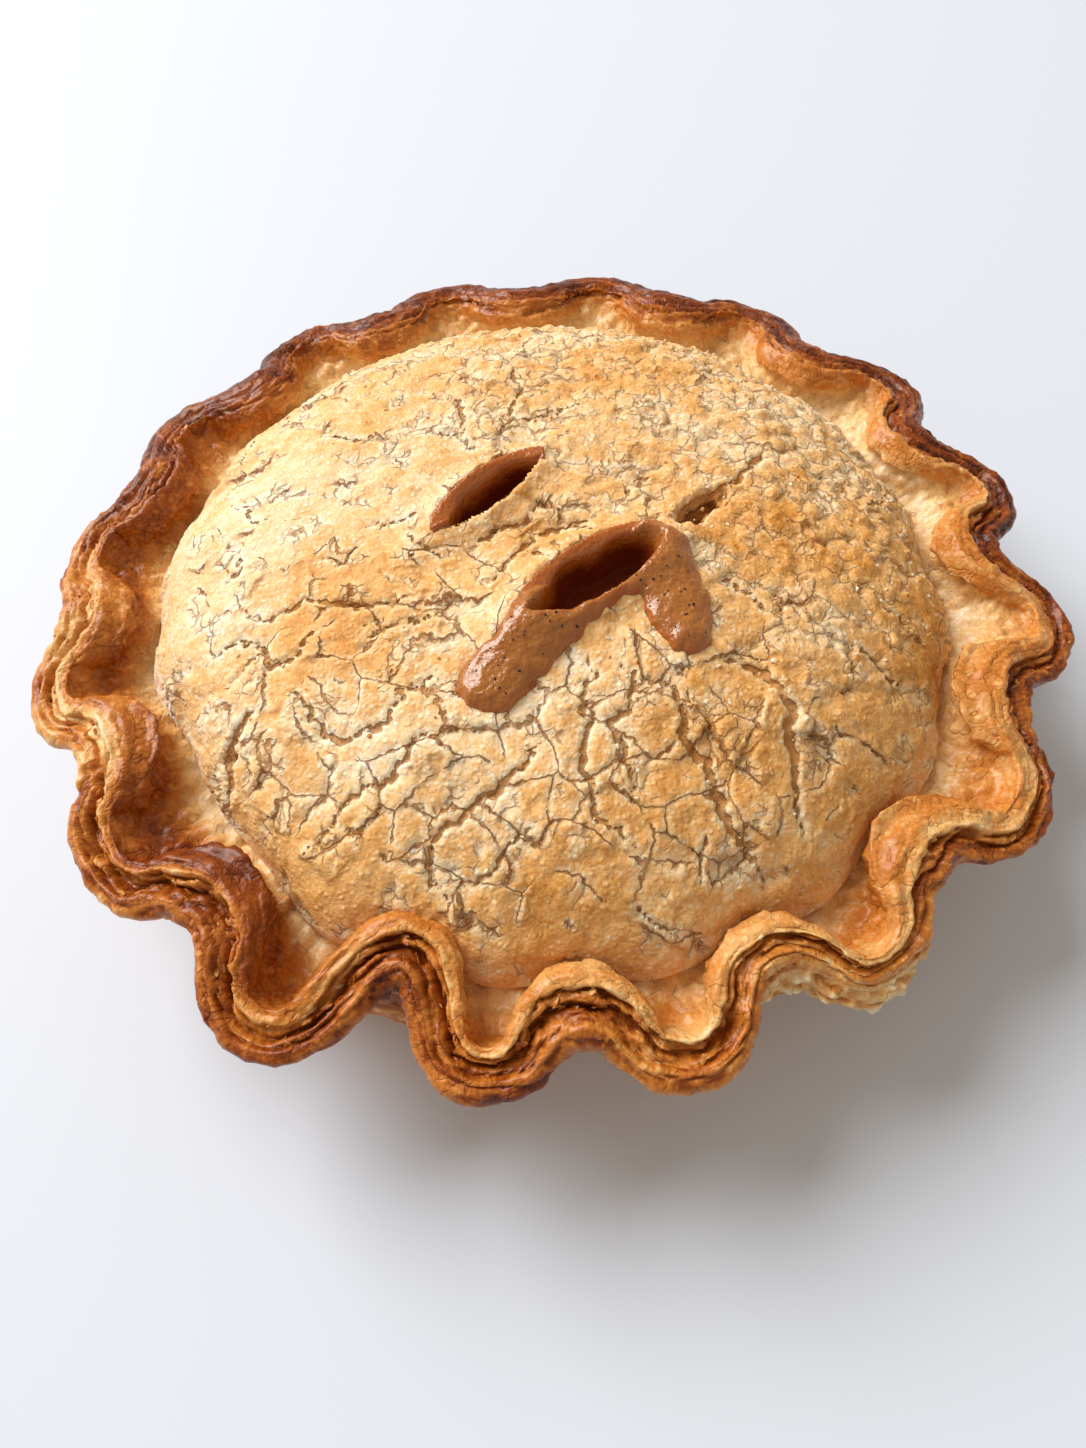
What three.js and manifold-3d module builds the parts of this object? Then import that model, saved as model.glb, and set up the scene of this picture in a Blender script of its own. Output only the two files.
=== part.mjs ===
import * as THREE from 'three';
import { mergeVertices } from 'three/addons/utils/BufferGeometryUtils.js';
import Module from 'manifold-3d';

// Goose pie: a baked pastry crust with a domed, cracked lid, a deep hand-fluted rim and a tapered case,
// and the gravy that has welled up through the two steam vents in its lid.
// Millimetres, +Z up, origin at the centre of the flat base. A bearing is in degrees about +Z, from the
// front (-Y) towards +X.

// Case
const BASE_RADIUS = 78;
const BASE_CORNER = 5;
const WALL_TOP_RADIUS = 98;
const LIP_RADIUS = 104.5;
const LIP_Z = 30;
const LIP_THICKNESS = 2;

// Lid: a pillow that is flat on top and steep at the crease where it meets the rim
const CREASE_RADIUS = 92;
const CREASE_Z = 34;
const LID_RISE = 32;
const LID_FLATNESS = 2.8;
const LID_SHOULDER = 0.6;
const LUMP_HEIGHT = 0.8;
const LUMP_SPACING = 46;
const LUMP_SLANT = 0.35;

// Rim: bearing of each pinch, radius of the ridge at it, and radius of the ridge at the crest after it. The
// meander squares the ridge's turns: at 0 it is a plain wave.
const FLUTES = [
  [2.5, 98, 109.5],
  [23.5, 98, 111],
  [46.5, 99.5, 113],
  [72.5, 101.5, 114.5],
  [95, 100, 114],
  [116, 101, 115],
  [137.5, 102, 113.5],
  [160, 103, 112],
  [184, 100.5, 111.5],
  [206.5, 100, 111],
  [229, 100, 111],
  [252, 102, 111],
  [274.5, 105, 113],
  [294, 102.5, 112],
  [319.5, 101.5, 114.5],
  [342.5, 91.5, 109.5],
];
const MEANDER = 0.4;
const RIDGE_Z = 44;
const RIDGE_LIFT = 2.2;
const RIDGE_MEAN_RADIUS = 106;
const CREST_WIDTH = 8.5;
const PINCH_WIDTH = 11.5;
const RIDGE_DROP = 3.2;
const CREASE_FOLLOW = 0.2;
const CREASE_FOLLOW_FADE = 8;
const LIP_FOLLOW = 0.15;

// Rim in section: how far the ridge's edges round down, and the places and heights, as shares of the way,
// of the pocket behind the ridge, of the ridge's inner face and of its outer flank
const RIDGE_ROUND = 1.4;
const POCKET_PLACE = 0.5;
const POCKET_RISE_AT_CREST = 0.8;
const POCKET_RISE_AT_PINCH = 3;
const FACE_PLACE = 0.85;
const FACE_HEIGHT_AT_CREST = 0.4;
const FACE_HEIGHT_AT_PINCH = 0.55;
const FLANK_PLACE = 0.45;
const FLANK_HEIGHT = 0.5;

// Pastry sheets that show along the ridge, with a groove between each two
const SHEETS = 3;
const GROOVE_DEPTH = 1.3;
const GROOVE_WIDTH = 1.5;

// Steam vents: almond slits, with the gravy that runs out of them as lobes of a skin on the lid
const VENTS = [
  {
    name: 'gravy_front_vent',
    centre: [8.5, -17],
    axis: 37,
    length: 37,
    width: 14,
    bead: 1.2,
    lobes: [
      { towards: 230, reach: 22, spread: 14 },
      { towards: 262, reach: 5, spread: 20 },
      { towards: -38, reach: 17, spread: 18 },
      { towards: -8, reach: 9, spread: 22 },
    ],
  },
  {
    name: 'gravy_back_vent',
    centre: [-13, 6],
    axis: 44,
    length: 32,
    width: 10,
    bead: 1,
    lobes: [{ towards: 110, reach: 2, spread: 45 }],
  },
];
const VENT_POINTEDNESS = 1.8;
const VENT_DEPTH = 10;
const VENT_LIP_HEIGHT = 2.2;
const VENT_LIP_SPREAD = 0.55;
const GRAVY_THICKNESS = 1.8;
const GRAVY_SINK = 1;
const GRAVY_LINING = 1.6;
const GRAVY_LEVEL = 6;
const GAP = 0.4;

// The skin of gravy in section: shares of the way out over the lid, each with its share of the thickness
const GRAVY_SECTION = [
  [0.12, 1],
  [0.55, 1],
  [0.88, 0.8],
  [1, 0.3],
];

// Cracks in the lid: width and depth of each, and the points that it runs through. A crack tapers over a
// share of its length at each end, to a share of its depth, and its width and line are uneven.
const CRACKS = [
  { width: 4.5, depth: 3, route: [[27.5, -2.5], [30, 0.5], [34, 4.5], [39, 8.5]] },
  { width: 1.8, depth: 1.3, route: [[39, 8.5], [44, 14.5], [49.5, 23.5]] },
  { width: 3, depth: 1.6, route: [[33.5, -35], [43, -38], [47, -46], [46.5, -61], [43.5, -70]] },
  { width: 2.6, depth: 1.6, route: [[21.5, -40.5], [25.5, -48.5], [30.5, -59.5], [40.5, -76.5]] },
  { width: 1.8, depth: 1.4, route: [[7, -36], [6, -46.5], [5, -58.5], [8, -67.5], [16.5, -73]] },
  { width: 1.6, depth: 1.3, route: [[13, -35.5], [15.5, -42], [11.5, -49.5], [14.5, -63.5]] },
  { width: 1.4, depth: 1.2, route: [[34, -16], [41, -20.5], [47, -25.5]] },
  { width: 2.6, depth: 1.6, route: [[-66.5, -57.5], [-64.5, -53], [-65.5, -47], [-59, -42.5]] },
  { width: 1.6, depth: 1.3, route: [[-66, -19], [-59, -22], [-50, -18.5], [-40.5, -21.5], [-27.5, -20.5]] },
  { width: 1.5, depth: 1.2, route: [[-71, -27], [-60, -27], [-55, -33], [-45, -25.5]] },
  { width: 1.8, depth: 1.4, route: [[-49, -43], [-42.5, -50.5], [-31.5, -48], [-23, -38]] },
  { width: 1.8, depth: 1.4, route: [[-48.5, -69.5], [-39.5, -61], [-29.5, -58.5], [-26.5, -51]] },
  { width: 1.9, depth: 1.4, route: [[-20, -79.5], [-23, -72], [-12, -62.5], [-2, -52.5]] },
  { width: 1.4, depth: 1.2, route: [[-53.5, 29], [-45, 26.5], [-32.5, 24.5]] },
  { width: 1.8, depth: 1.4, route: [[-24.5, 40.5], [-19.5, 33], [-18.5, 24], [-14, 21]] },
  { width: 1.8, depth: 1.4, route: [[-8, 51], [-6, 40], [-9, 31], [-8, 25]] },
  { width: 1.5, depth: 1.2, route: [[69.5, 10], [75, 13], [80.5, 20]] },
  { width: 1.4, depth: 1.2, route: [[60.5, -28.5], [68, -34], [75, -32.5]] },
];
const CRACK_STEP = 4;
const CRACK_RAGGEDNESS = 0.8;
const CRACK_NARROWEST = 0.7;
const CRACK_WIDEST = 1.2;
const CRACK_TAPER = 0.33;
const CRACK_END_DEPTH = 0.3;

// Number of steps that a flute is divided into, the step that the ridge's direction is taken over, and the
// lid's rings as a share of the crease radius, each with the number of steps that one of its edges spans
const STEPS_PER_FLUTE = 10;
const PLACE_STEP = 0.01;
const LID_RINGS = [
  [0.045, 10], [0.1, 5], [0.16, 4], [0.22, 2], [0.28, 2], [0.34, 2], [0.41, 2], [0.49, 2],
  [0.57, 2], [0.65, 2], [0.73, 2], [0.8, 2], [0.87, 2], [0.925, 2], [0.97, 2], [1, 1],
];
const VENT_STEPS = 40;

const { lerp, degToRad, radToDeg, seededRandom } = THREE.MathUtils;
const wasm = await Module();
wasm.setup();

const ventDirections = Array.from({ length: VENT_STEPS }, (_, step) => (step * 360) / VENT_STEPS);
const rimSteps = FLUTES.length * STEPS_PER_FLUTE;
const rimPlaces = Array.from({ length: rimSteps }, (_, step) => step / STEPS_PER_FLUTE);
const flutes = FLUTES.map(([bearing, pinchRadius, crestRadius], index) => {
  const [nextBearing, nextRadius] = FLUTES[(index + 1) % FLUTES.length];
  return { bearing, pinchRadius, crestRadius, nextRadius, span: (nextBearing - bearing + 360) % 360 };
});

function inPlan(bearing, radius) {
  return new THREE.Vector2(Math.sin(degToRad(bearing)), -Math.cos(degToRad(bearing))).multiplyScalar(radius);
}

function raised(plan, z) {
  return new THREE.Vector3(plan.x, plan.y, z);
}

// How far the rim is pinched in part of the way along a flute, from 0 at its crest to 1 at a pinch
function pinchAt(along) {
  return (1 + Math.cos(2 * Math.PI * along)) / 2;
}

function ridgeRadius(flute, along) {
  return lerp(flute.crestRadius, along < 0.5 ? flute.pinchRadius : flute.nextRadius, pinchAt(along));
}

// Bearing of a place round the rim, counted in flutes from the first pinch
function rimBearing(place) {
  const flute = flutes[Math.floor(place + flutes.length) % flutes.length];
  const along = place - Math.floor(place);
  return flute.bearing + flute.span * (along + (MEANDER * Math.sin(4 * Math.PI * along)) / (4 * Math.PI));
}

// Middle of the ridge at a place round the rim
function ridgeMiddle(place) {
  const flute = flutes[Math.floor(place + flutes.length) % flutes.length];
  return inPlan(rimBearing(place), ridgeRadius(flute, place - Math.floor(place)));
}

// Radius of the crease at a bearing, where it follows the flutes a little
function creaseRadius(bearing) {
  const turned = flutes[0].bearing + ((((bearing - flutes[0].bearing) % 360) + 360) % 360);
  const flute = flutes.findLast((each) => each.bearing <= turned);
  const ridge = ridgeRadius(flute, (turned - flute.bearing) / flute.span);
  return CREASE_RADIUS + CREASE_FOLLOW * (ridge - RIDGE_MEAN_RADIUS);
}

// Radius of a vent's almond outline in a direction, with both half-widths grown by an allowance
function ventRadius(vent, direction, allowance) {
  const angle = degToRad(direction - vent.axis);
  const along = Math.abs(Math.cos(angle)) / (vent.length / 2 + allowance);
  const across = Math.abs(Math.sin(angle)) / (vent.width / 2 + allowance);
  return (along ** VENT_POINTEDNESS + across ** VENT_POINTEDNESS) ** (-1 / VENT_POINTEDNESS);
}

// Place of a point on the lid, from 0 at its centre to 1 at the crease, which follows the flutes a little
function lidShare(x, y) {
  const radius = Math.hypot(x, y);
  return Math.min(1, radius / lidRadius(radToDeg(Math.atan2(x, -y)), Math.min(1, radius / CREASE_RADIUS)));
}

// Radius of the lid's edge as it counts at a share of the way out to it
function lidRadius(bearing, share) {
  return lerp(CREASE_RADIUS, creaseRadius(bearing), share ** CREASE_FOLLOW_FADE);
}

// Height of the lid above the base: the pillow, its broad lumps and the raised lips of the vents
function lidHeight(x, y, share = lidShare(x, y)) {
  const pillow = (1 - share ** LID_FLATNESS) ** LID_SHOULDER;
  const wave = (2 * Math.PI) / LUMP_SPACING;
  const lumps = Math.sin(wave * (x + LUMP_SLANT * y) + 1) * Math.cos(wave * (y - LUMP_SLANT * x));
  let z = CREASE_Z + LID_RISE * pillow + LUMP_HEIGHT * lumps * (1 - share ** 2);
  for (const vent of VENTS) {
    const [dx, dy] = [x - vent.centre[0], y - vent.centre[1]];
    const outward = Math.hypot(dx, dy) / ventRadius(vent, radToDeg(Math.atan2(dy, dx)), 0) - 1;
    z += VENT_LIP_HEIGHT * Math.exp(-((outward / VENT_LIP_SPREAD) ** 2));
  }
  return z;
}

// Closes a stack of rings, which starts and ends in a point, into one solid. A point that repeats in its
// ring is merged, so a ring may have fewer corners than the next one.
function skin(rings) {
  const steps = rings[0].length;
  const corners = [];
  for (let ring = 0; ring + 1 < rings.length; ring += 1) {
    for (let step = 0; step < steps; step += 1) {
      const next = (step + 1) % steps;
      const [here, ahead] = [ring * steps, (ring + 1) * steps];
      corners.push(here + step, ahead + step, ahead + next, here + step, ahead + next, here + next);
    }
  }
  return new THREE.BufferGeometry().setFromPoints(rings.flat()).setIndex(corners);
}

function toSolid(geometry) {
  const bare = geometry.clone();
  bare.deleteAttribute('normal');
  bare.deleteAttribute('uv');
  const merged = mergeVertices(bare);
  const corners = [];
  for (let i = 0; i < merged.index.count; i += 3) {
    const triangle = [0, 1, 2].map((k) => merged.index.getX(i + k));
    if (new Set(triangle).size === 3) corners.push(...triangle);
  }
  const vertProperties = new Float32Array(merged.attributes.position.array);
  const mesh = new wasm.Mesh({ numProp: 3, vertProperties, triVerts: new Uint32Array(corners) });
  return new wasm.Manifold(mesh);
}

function toGeometry(solid) {
  const { vertProperties, triVerts } = solid.getMesh();
  const geometry = new THREE.BufferGeometry();
  geometry.setAttribute('position', new THREE.BufferAttribute(vertProperties, 3));
  geometry.setIndex(new THREE.BufferAttribute(triVerts, 1));
  geometry.computeVertexNormals();
  return geometry;
}

// The rim in section at a place round it, from the crease over the ridge to the underside of the lip. The
// ridge is cut square to its own line, and the crease and lip towards the centre.
function rimSection(place) {
  const bearing = rimBearing(place);
  const pinched = pinchAt(place);
  const middle = ridgeMiddle(place);
  const ahead = ridgeMiddle(place + PLACE_STEP).sub(ridgeMiddle(place - PLACE_STEP)).normalize();
  const outward = new THREE.Vector2(ahead.y, -ahead.x);
  const width = lerp(CREST_WIDTH, PINCH_WIDTH, pinched);
  const top = RIDGE_Z + RIDGE_LIFT * (2 * pinched - 1);
  const edge = top - RIDGE_DROP;
  const acrossRidge = (share) => middle.clone().addScaledVector(outward, (share - 0.5) * width);
  const crease = inPlan(bearing, creaseRadius(bearing));
  const lip = inPlan(bearing, LIP_RADIUS + LIP_FOLLOW * (middle.length() - RIDGE_MEAN_RADIUS));
  const pocketRise = lerp(POCKET_RISE_AT_CREST, POCKET_RISE_AT_PINCH, pinched);
  const faceHeight = lerp(FACE_HEIGHT_AT_CREST, FACE_HEIGHT_AT_PINCH, pinched);
  const section = [
    raised(crease.clone().lerp(acrossRidge(0), POCKET_PLACE), CREASE_Z + pocketRise),
    raised(crease.clone().lerp(acrossRidge(0), FACE_PLACE), lerp(CREASE_Z, top, faceHeight)),
    raised(acrossRidge(0), top - RIDGE_ROUND),
  ];
  const groove = GROOVE_WIDTH / 2 / width;
  for (let sheet = 0; sheet < SHEETS; sheet += 1) {
    const [start, end] = [sheet / SHEETS + groove, (sheet + 1) / SHEETS - groove];
    section.push(raised(acrossRidge(start), lerp(top, edge, start)));
    section.push(raised(acrossRidge(end), lerp(top, edge, end)));
    const split = (sheet + 1) / SHEETS;
    if (split < 1) section.push(raised(acrossRidge(split), lerp(top, edge, split) - GROOVE_DEPTH));
  }
  section.push(
    raised(acrossRidge(1), edge - RIDGE_ROUND),
    raised(acrossRidge(1).lerp(lip, FLANK_PLACE), lerp(edge, LIP_Z, FLANK_HEIGHT)),
    raised(lip, LIP_Z + LIP_THICKNESS),
    raised(lip.clone().setLength(lip.length() - LIP_THICKNESS / 2), LIP_Z),
    raised(inPlan(bearing, WALL_TOP_RADIUS), LIP_Z),
  );
  return section;
}

function crustBody() {
  const ringOf = (every, pointAt) =>
    rimPlaces.map((_, step) => pointAt(rimPlaces[Math.floor(step / every) * every]));
  const lidRings = LID_RINGS.map(([share, every]) =>
    ringOf(every, (place) => {
      const bearing = rimBearing(place);
      const plan = inPlan(bearing, share * lidRadius(bearing, share));
      return raised(plan, lidHeight(plan.x, plan.y, share));
    }),
  );
  const rimRings = rimSection(0).map((_, index) => ringOf(1, (place) => rimSection(place)[index]));
  const wall = [
    [(BASE_RADIUS + BASE_CORNER + WALL_TOP_RADIUS) / 2, (BASE_CORNER + LIP_Z) / 2],
    [BASE_RADIUS + BASE_CORNER, BASE_CORNER],
    [BASE_RADIUS, 0],
  ];
  const wallRings = wall.map(([radius, z]) =>
    ringOf(2, (place) => raised(inPlan(rimBearing(place), radius), z)),
  );
  const lidCentre = rimPlaces.map(() => new THREE.Vector3(0, 0, lidHeight(0, 0)));
  const baseCentre = rimPlaces.map(() => new THREE.Vector3());
  return toSolid(skin([lidCentre, ...lidRings, ...rimRings, ...wallRings, baseCentre]));
}

// The slit of a vent, as a prism that goes down from above the lid
function ventCutter(vent) {
  const outline = ventDirections.map((direction) => {
    const radius = ventRadius(vent, direction, 0);
    return new THREE.Vector2(radius, 0).rotateAround(new THREE.Vector2(), degToRad(direction));
  });
  const shape = new THREE.Shape(outline);
  const prism = new THREE.ExtrudeGeometry(shape, { depth: 2 * VENT_DEPTH, bevelEnabled: false });
  return toSolid(prism.translate(...vent.centre, lidHeight(...vent.centre) - VENT_DEPTH));
}

// A crack as a ragged wedge, as deep below the lid as it stands above it, running out to nothing at its ends
function crackCutter({ width, depth, route }, seed) {
  const curve = new THREE.CatmullRomCurve3(route.map(([x, y]) => new THREE.Vector3(x, y, 0)));
  const stations = Math.ceil(curve.getLength() / CRACK_STEP);
  seededRandom(seed);
  const rings = [];
  for (let station = 0; station <= stations; station += 1) {
    const along = station / stations;
    const point = curve.getPointAt(along);
    const tangent = curve.getTangentAt(along);
    const left = new THREE.Vector3(-tangent.y, tangent.x, 0);
    point.addScaledVector(left, CRACK_RAGGEDNESS * (2 * seededRandom() - 1));
    point.z = lidHeight(point.x, point.y);
    const taper = Math.min(1, along / CRACK_TAPER, (1 - along) / CRACK_TAPER);
    const half = width * taper * lerp(CRACK_NARROWEST, CRACK_WIDEST, seededRandom());
    const above = new THREE.Vector3(0, 0, depth);
    rings.push([
      point.clone().addScaledVector(left, half).add(above),
      point.clone().addScaledVector(above, -lerp(CRACK_END_DEPTH, 1, taper)),
      point.clone().addScaledVector(left, -half).add(above),
    ]);
  }
  return toSolid(skin(rings));
}

// The gravy of a vent: a pool in the slit, a lining up its walls and a skin out over the lid, cut so that it
// lies on the crust with a fine gap
function gravyBody(vent, crustLifted) {
  const [cx, cy] = vent.centre;
  const floor = lidHeight(cx, cy) - VENT_DEPTH + GAP;
  const pool = lidHeight(cx, cy) - GRAVY_LEVEL;
  const reachOf = (direction) =>
    vent.lobes.reduce((reach, { towards, reach: length, spread }) => {
      const off = ((((direction - towards) % 360) + 540) % 360) - 180;
      return reach + length * Math.exp(-((off / spread) ** 2));
    }, vent.bead);
  const ringOf = (radiusAt, heightAt) =>
    ventDirections.map((direction) => {
      const radius = radiusAt(direction);
      const angle = degToRad(direction);
      const [x, y] = [cx + radius * Math.cos(angle), cy + radius * Math.sin(angle)];
      return new THREE.Vector3(x, y, heightAt(x, y));
    });
  const inside = (allowance) => (direction) => ventRadius(vent, direction, allowance);
  const across = (share) => (direction) => ventRadius(vent, direction, 0) + share * reachOf(direction);
  const onLid = (lift) => (x, y) => lidHeight(x, y) + lift;
  return toSolid(
    skin([
      ringOf(() => 0, () => pool),
      ringOf(inside(-GAP - 2 * GRAVY_LINING), () => pool),
      ringOf(inside(-GAP - GRAVY_LINING), onLid(-GRAVY_SINK)),
      ...GRAVY_SECTION.map(([share, part]) => ringOf(across(share), onLid(part * GRAVY_THICKNESS))),
      ringOf(across(1), onLid(-GRAVY_SINK)),
      ringOf(inside(-GAP), onLid(-GRAVY_SINK)),
      ringOf(inside(-GAP), () => floor),
      ringOf(() => 0, () => floor),
    ]),
  ).subtract(crustLifted);
}

const crust = [...VENTS.map(ventCutter), ...CRACKS.map(crackCutter)].reduce(
  (body, cutter) => body.subtract(cutter),
  crustBody(),
);
const crustGeometry = toGeometry(crust);
const crustLifted = toSolid(crustGeometry.clone().translate(0, 0, GAP));

const pastry = new THREE.MeshStandardMaterial({ color: '#d3a263', roughness: 0.6, metalness: 0 });
const gravy = new THREE.MeshStandardMaterial({ color: '#7d451a', roughness: 0.22, metalness: 0 });

function named(name, geometry, material) {
  const mesh = new THREE.Mesh(geometry, material);
  mesh.name = name;
  return mesh;
}

const pie = new THREE.Group();
pie.add(named('pastry_crust', crustGeometry, pastry));
for (const vent of VENTS) {
  pie.add(named(vent.name, toGeometry(gravyBody(vent, crustLifted)), gravy));
}

export default pie;
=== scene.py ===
import math

import bpy
import numpy as np
from mathutils import Matrix, Vector


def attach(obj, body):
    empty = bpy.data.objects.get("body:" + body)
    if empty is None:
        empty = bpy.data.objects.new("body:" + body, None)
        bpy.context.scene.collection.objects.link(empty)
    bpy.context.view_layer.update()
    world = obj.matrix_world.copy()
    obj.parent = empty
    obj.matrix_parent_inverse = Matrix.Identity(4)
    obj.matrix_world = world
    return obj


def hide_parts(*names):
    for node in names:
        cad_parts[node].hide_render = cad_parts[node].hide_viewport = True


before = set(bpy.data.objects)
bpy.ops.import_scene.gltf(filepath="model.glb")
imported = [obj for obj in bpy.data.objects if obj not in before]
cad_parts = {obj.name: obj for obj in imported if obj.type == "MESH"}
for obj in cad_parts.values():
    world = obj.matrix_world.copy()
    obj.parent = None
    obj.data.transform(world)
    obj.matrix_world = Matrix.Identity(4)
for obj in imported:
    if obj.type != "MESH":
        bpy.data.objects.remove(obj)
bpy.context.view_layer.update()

# Pastry case
# The bottom crust: shortcrust rolled out, pressed into a tapered round tin and baked, then turned out. Its
# wall is plain and straight, browned where it touched the metal, and it stands on its flat underside.
MM = 0.001
BASE_RADIUS = 78
BASE_CORNER = 5
CORNER_BULGE = 0.7
BASE_INSET = 12
WALL_TOP_RADIUS = 98
LIP_Z = 30
CASE_STEPS = 320
CASE_ROWS = 44
CASE_TOAST = 0.5


def hex_colour(text):
    """Linear colour of an sRGB hex value."""
    parts = [int(text[start:start + 2], 16) / 255 for start in (1, 3, 5)]
    return [part / 12.92 if part <= 0.04045 else ((part + 0.055) / 1.055) ** 2.4 for part in parts] + [1]


def feed(tree, sockets, inputs):
    """Gives sockets their inputs: another node's output is linked, and a plain value is set."""
    for key, value in inputs.items():
        if isinstance(value, bpy.types.NodeSocket):
            tree.links.new(value, sockets[key])
        else:
            sockets[key].default_value = value


def add(tree, kind, inputs=None, out=0, stops=(), **settings):
    """Adds a node with its settings and links, and returns one of its outputs."""
    made = tree.nodes.new(kind)
    for name, value in settings.items():
        setattr(made, name, value)
    feed(tree, made.inputs, inputs or {})
    for index, (place, colour) in enumerate(stops):
        elements = made.color_ramp.elements
        stop = elements[index] if index < 2 else elements.new(place)
        stop.position, stop.color = place, hex_colour(colour)
    return made.outputs[out]


def held(tree, name, vector=False):
    """What the points of a piece hold under a name, for a geometry tree or a shader."""
    if tree.type == "GEOMETRY":
        kind = "FLOAT_VECTOR" if vector else "FLOAT"
        return add(tree, "GeometryNodeInputNamedAttribute", {"Name": name}, data_type=kind)
    return add(tree, "ShaderNodeAttribute", attribute_name=name, out="Vector" if vector else "Fac")


def reckon(tree, operation, *values):
    """A calculation with values."""
    return add(tree, "ShaderNodeMath", dict(enumerate(values)), operation=operation)


def reckon_vector(tree, operation, *vectors, out=0):
    """A calculation with vectors."""
    return add(tree, "ShaderNodeVectorMath", dict(enumerate(vectors)), operation=operation, out=out)


def scaled(tree, vector, size):
    """A vector times a value."""
    return add(tree, "ShaderNodeVectorMath", {0: vector, "Scale": size}, operation="SCALE")


def total(tree, start, *terms):
    """A value plus others, each times its own weight."""
    for value, weight in terms:
        start = reckon(tree, "MULTIPLY_ADD", value, weight, start)
    return start


def layered_up(tree, start, weights, layers):
    """A value plus the layers of a surface, each times the weight under its name."""
    return total(tree, start, *[(layers[name], weight) for name, weight in weights.items()])


def product(tree, first, *others):
    """Values times one another."""
    for other in others:
        first = reckon(tree, "MULTIPLY", first, other)
    return first


def between(tree, value, start, end, low=0, high=1):
    """Goes smoothly from low to high as a value goes from start to end."""
    return add(tree, "ShaderNodeMapRange", {0: value, 1: start, 2: end, 3: low, 4: high},
               interpolation_type="SMOOTHSTEP")


def fading(tree, value, start, end):
    """Goes smoothly from one to nought as a value goes from start to end."""
    return between(tree, value, start, end, low=1, high=0)


def uneven(tree, place, size, detail=2, roughness=0.5):
    """A random value about nought that changes over a size in millimetres."""
    noise = add(tree, "ShaderNodeTexNoise", {"Vector": place, "Scale": 1 / size, "Detail": detail,
                                             "Roughness": roughness})
    return reckon(tree, "SUBTRACT", noise, 0.5)


def cells(tree, place, size, **settings):
    """Random cells of a size in millimetres: how far a place is from the middle of its cell, or what the
    settings ask for instead."""
    return add(tree, "ShaderNodeTexVoronoi", {"Vector": place, "Scale": 1 / size}, **settings)


def in_scene(name, data):
    """A new object of the scene, at the origin."""
    made = bpy.data.objects.new(name, data)
    bpy.context.scene.collection.objects.link(made)
    return made


def crust_object(name, points, faces, **fields):
    """A smooth-shaded object from points in millimetres, with a value or a vector for each point in each
    field."""
    mesh = bpy.data.meshes.new(name)
    mesh.from_pydata((np.asarray(points) * MM).tolist(), [], faces)
    mesh.shade_smooth()
    for field, values in {"rest": points, **fields}.items():
        values = np.asarray(values, np.float32)
        kind, slot = ("FLOAT_VECTOR", "vector") if values.ndim == 2 else ("FLOAT", "value")
        mesh.attributes.new(field, kind, "POINT").data.foreach_set(slot, values.ravel())
    return in_scene(name, mesh)


def ring_faces(rows, steps, looped=False):
    """Faces of a stack of closed rings, capped at both ends or with the last ring joined to the first."""
    row, step = np.meshgrid(np.arange(rows if looped else rows - 1), np.arange(steps), indexing="ij")
    above, ahead = (row + 1) % rows, (step + 1) % steps
    corners = (row * steps + step, above * steps + step, above * steps + ahead, row * steps + ahead)
    faces = np.stack(corners, -1).reshape(-1, 4).tolist()
    if not looped:
        faces.append(list(range(steps)))
        faces.append(list(range(rows * steps - 1, (rows - 1) * steps - 1, -1)))
    return faces


def new_material(name):
    """A material named for what a piece is made of, with its node tree and its shader's sockets."""
    made = bpy.data.materials.new(name)
    made.use_nodes = True
    return made, made.node_tree, made.node_tree.nodes["Principled BSDF"].inputs


def new_tree(name, **sizes):
    """An empty geometry tree with a geometry input and output and a named input for each size."""
    tree = bpy.data.node_groups.new(name, "GeometryNodeTree")
    tree.interface.new_socket("Geometry", in_out="INPUT", socket_type="NodeSocketGeometry")
    tree.interface.new_socket("Geometry", in_out="OUTPUT", socket_type="NodeSocketGeometry")
    for size, value in sizes.items():
        tree.interface.new_socket(size, in_out="INPUT", socket_type="NodeSocketFloat").default_value = value
    return tree, tree.nodes.new("NodeGroupInput").outputs, tree.nodes.new("NodeGroupOutput").inputs


def keep_fields(tree, geometry, **fields):
    """Stores values on the points of a geometry under their names."""
    for field, value in fields.items():
        geometry = add(tree, "GeometryNodeStoreNamedAttribute",
                       {"Geometry": geometry, "Name": field, "Value": value},
                       domain="POINT", data_type="FLOAT")
    return geometry


def relief(tree, given, **layers):
    """A height that adds up layers, each times the size of that name that the tree is given."""
    return total(tree, 0, *[(value, given[name]) for name, value in layers.items()])


def settle(tree, result, geometry, height, material):
    """Ends a relief tree: moves the points along their normals by a height in millimetres."""
    offset = scaled(tree, add(tree, "GeometryNodeInputNormal"), product(tree, height, MM))
    moved = add(tree, "GeometryNodeSetPosition", {"Geometry": geometry, "Offset": offset})
    whole = add(tree, "GeometryNodeRealizeInstances", {"Geometry": moved})
    coated = add(tree, "GeometryNodeSetMaterial", {"Geometry": whole, "Material": material})
    feed(tree, result, {"Geometry": coated})


def finish_piece(piece, tree, node, slot, **sizes):
    """Runs a tree on a piece with the sizes for its named inputs, keeps the result as a plain mesh, and puts
    it in the place of a solid."""
    made = piece.modifiers.new(tree.name, "NODES")
    made.node_group = tree
    for socket in tree.interface.items_tree:
        if socket.in_out == "INPUT" and socket.name in sizes:
            made[socket.identifier] = sizes[socket.name]
    shown = piece.evaluated_get(bpy.context.evaluated_depsgraph_get())
    shaped = bpy.data.meshes.new_from_object(shown)
    piece.modifiers.clear()
    piece.data = shaped
    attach(piece, "root")
    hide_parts(node)


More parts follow.
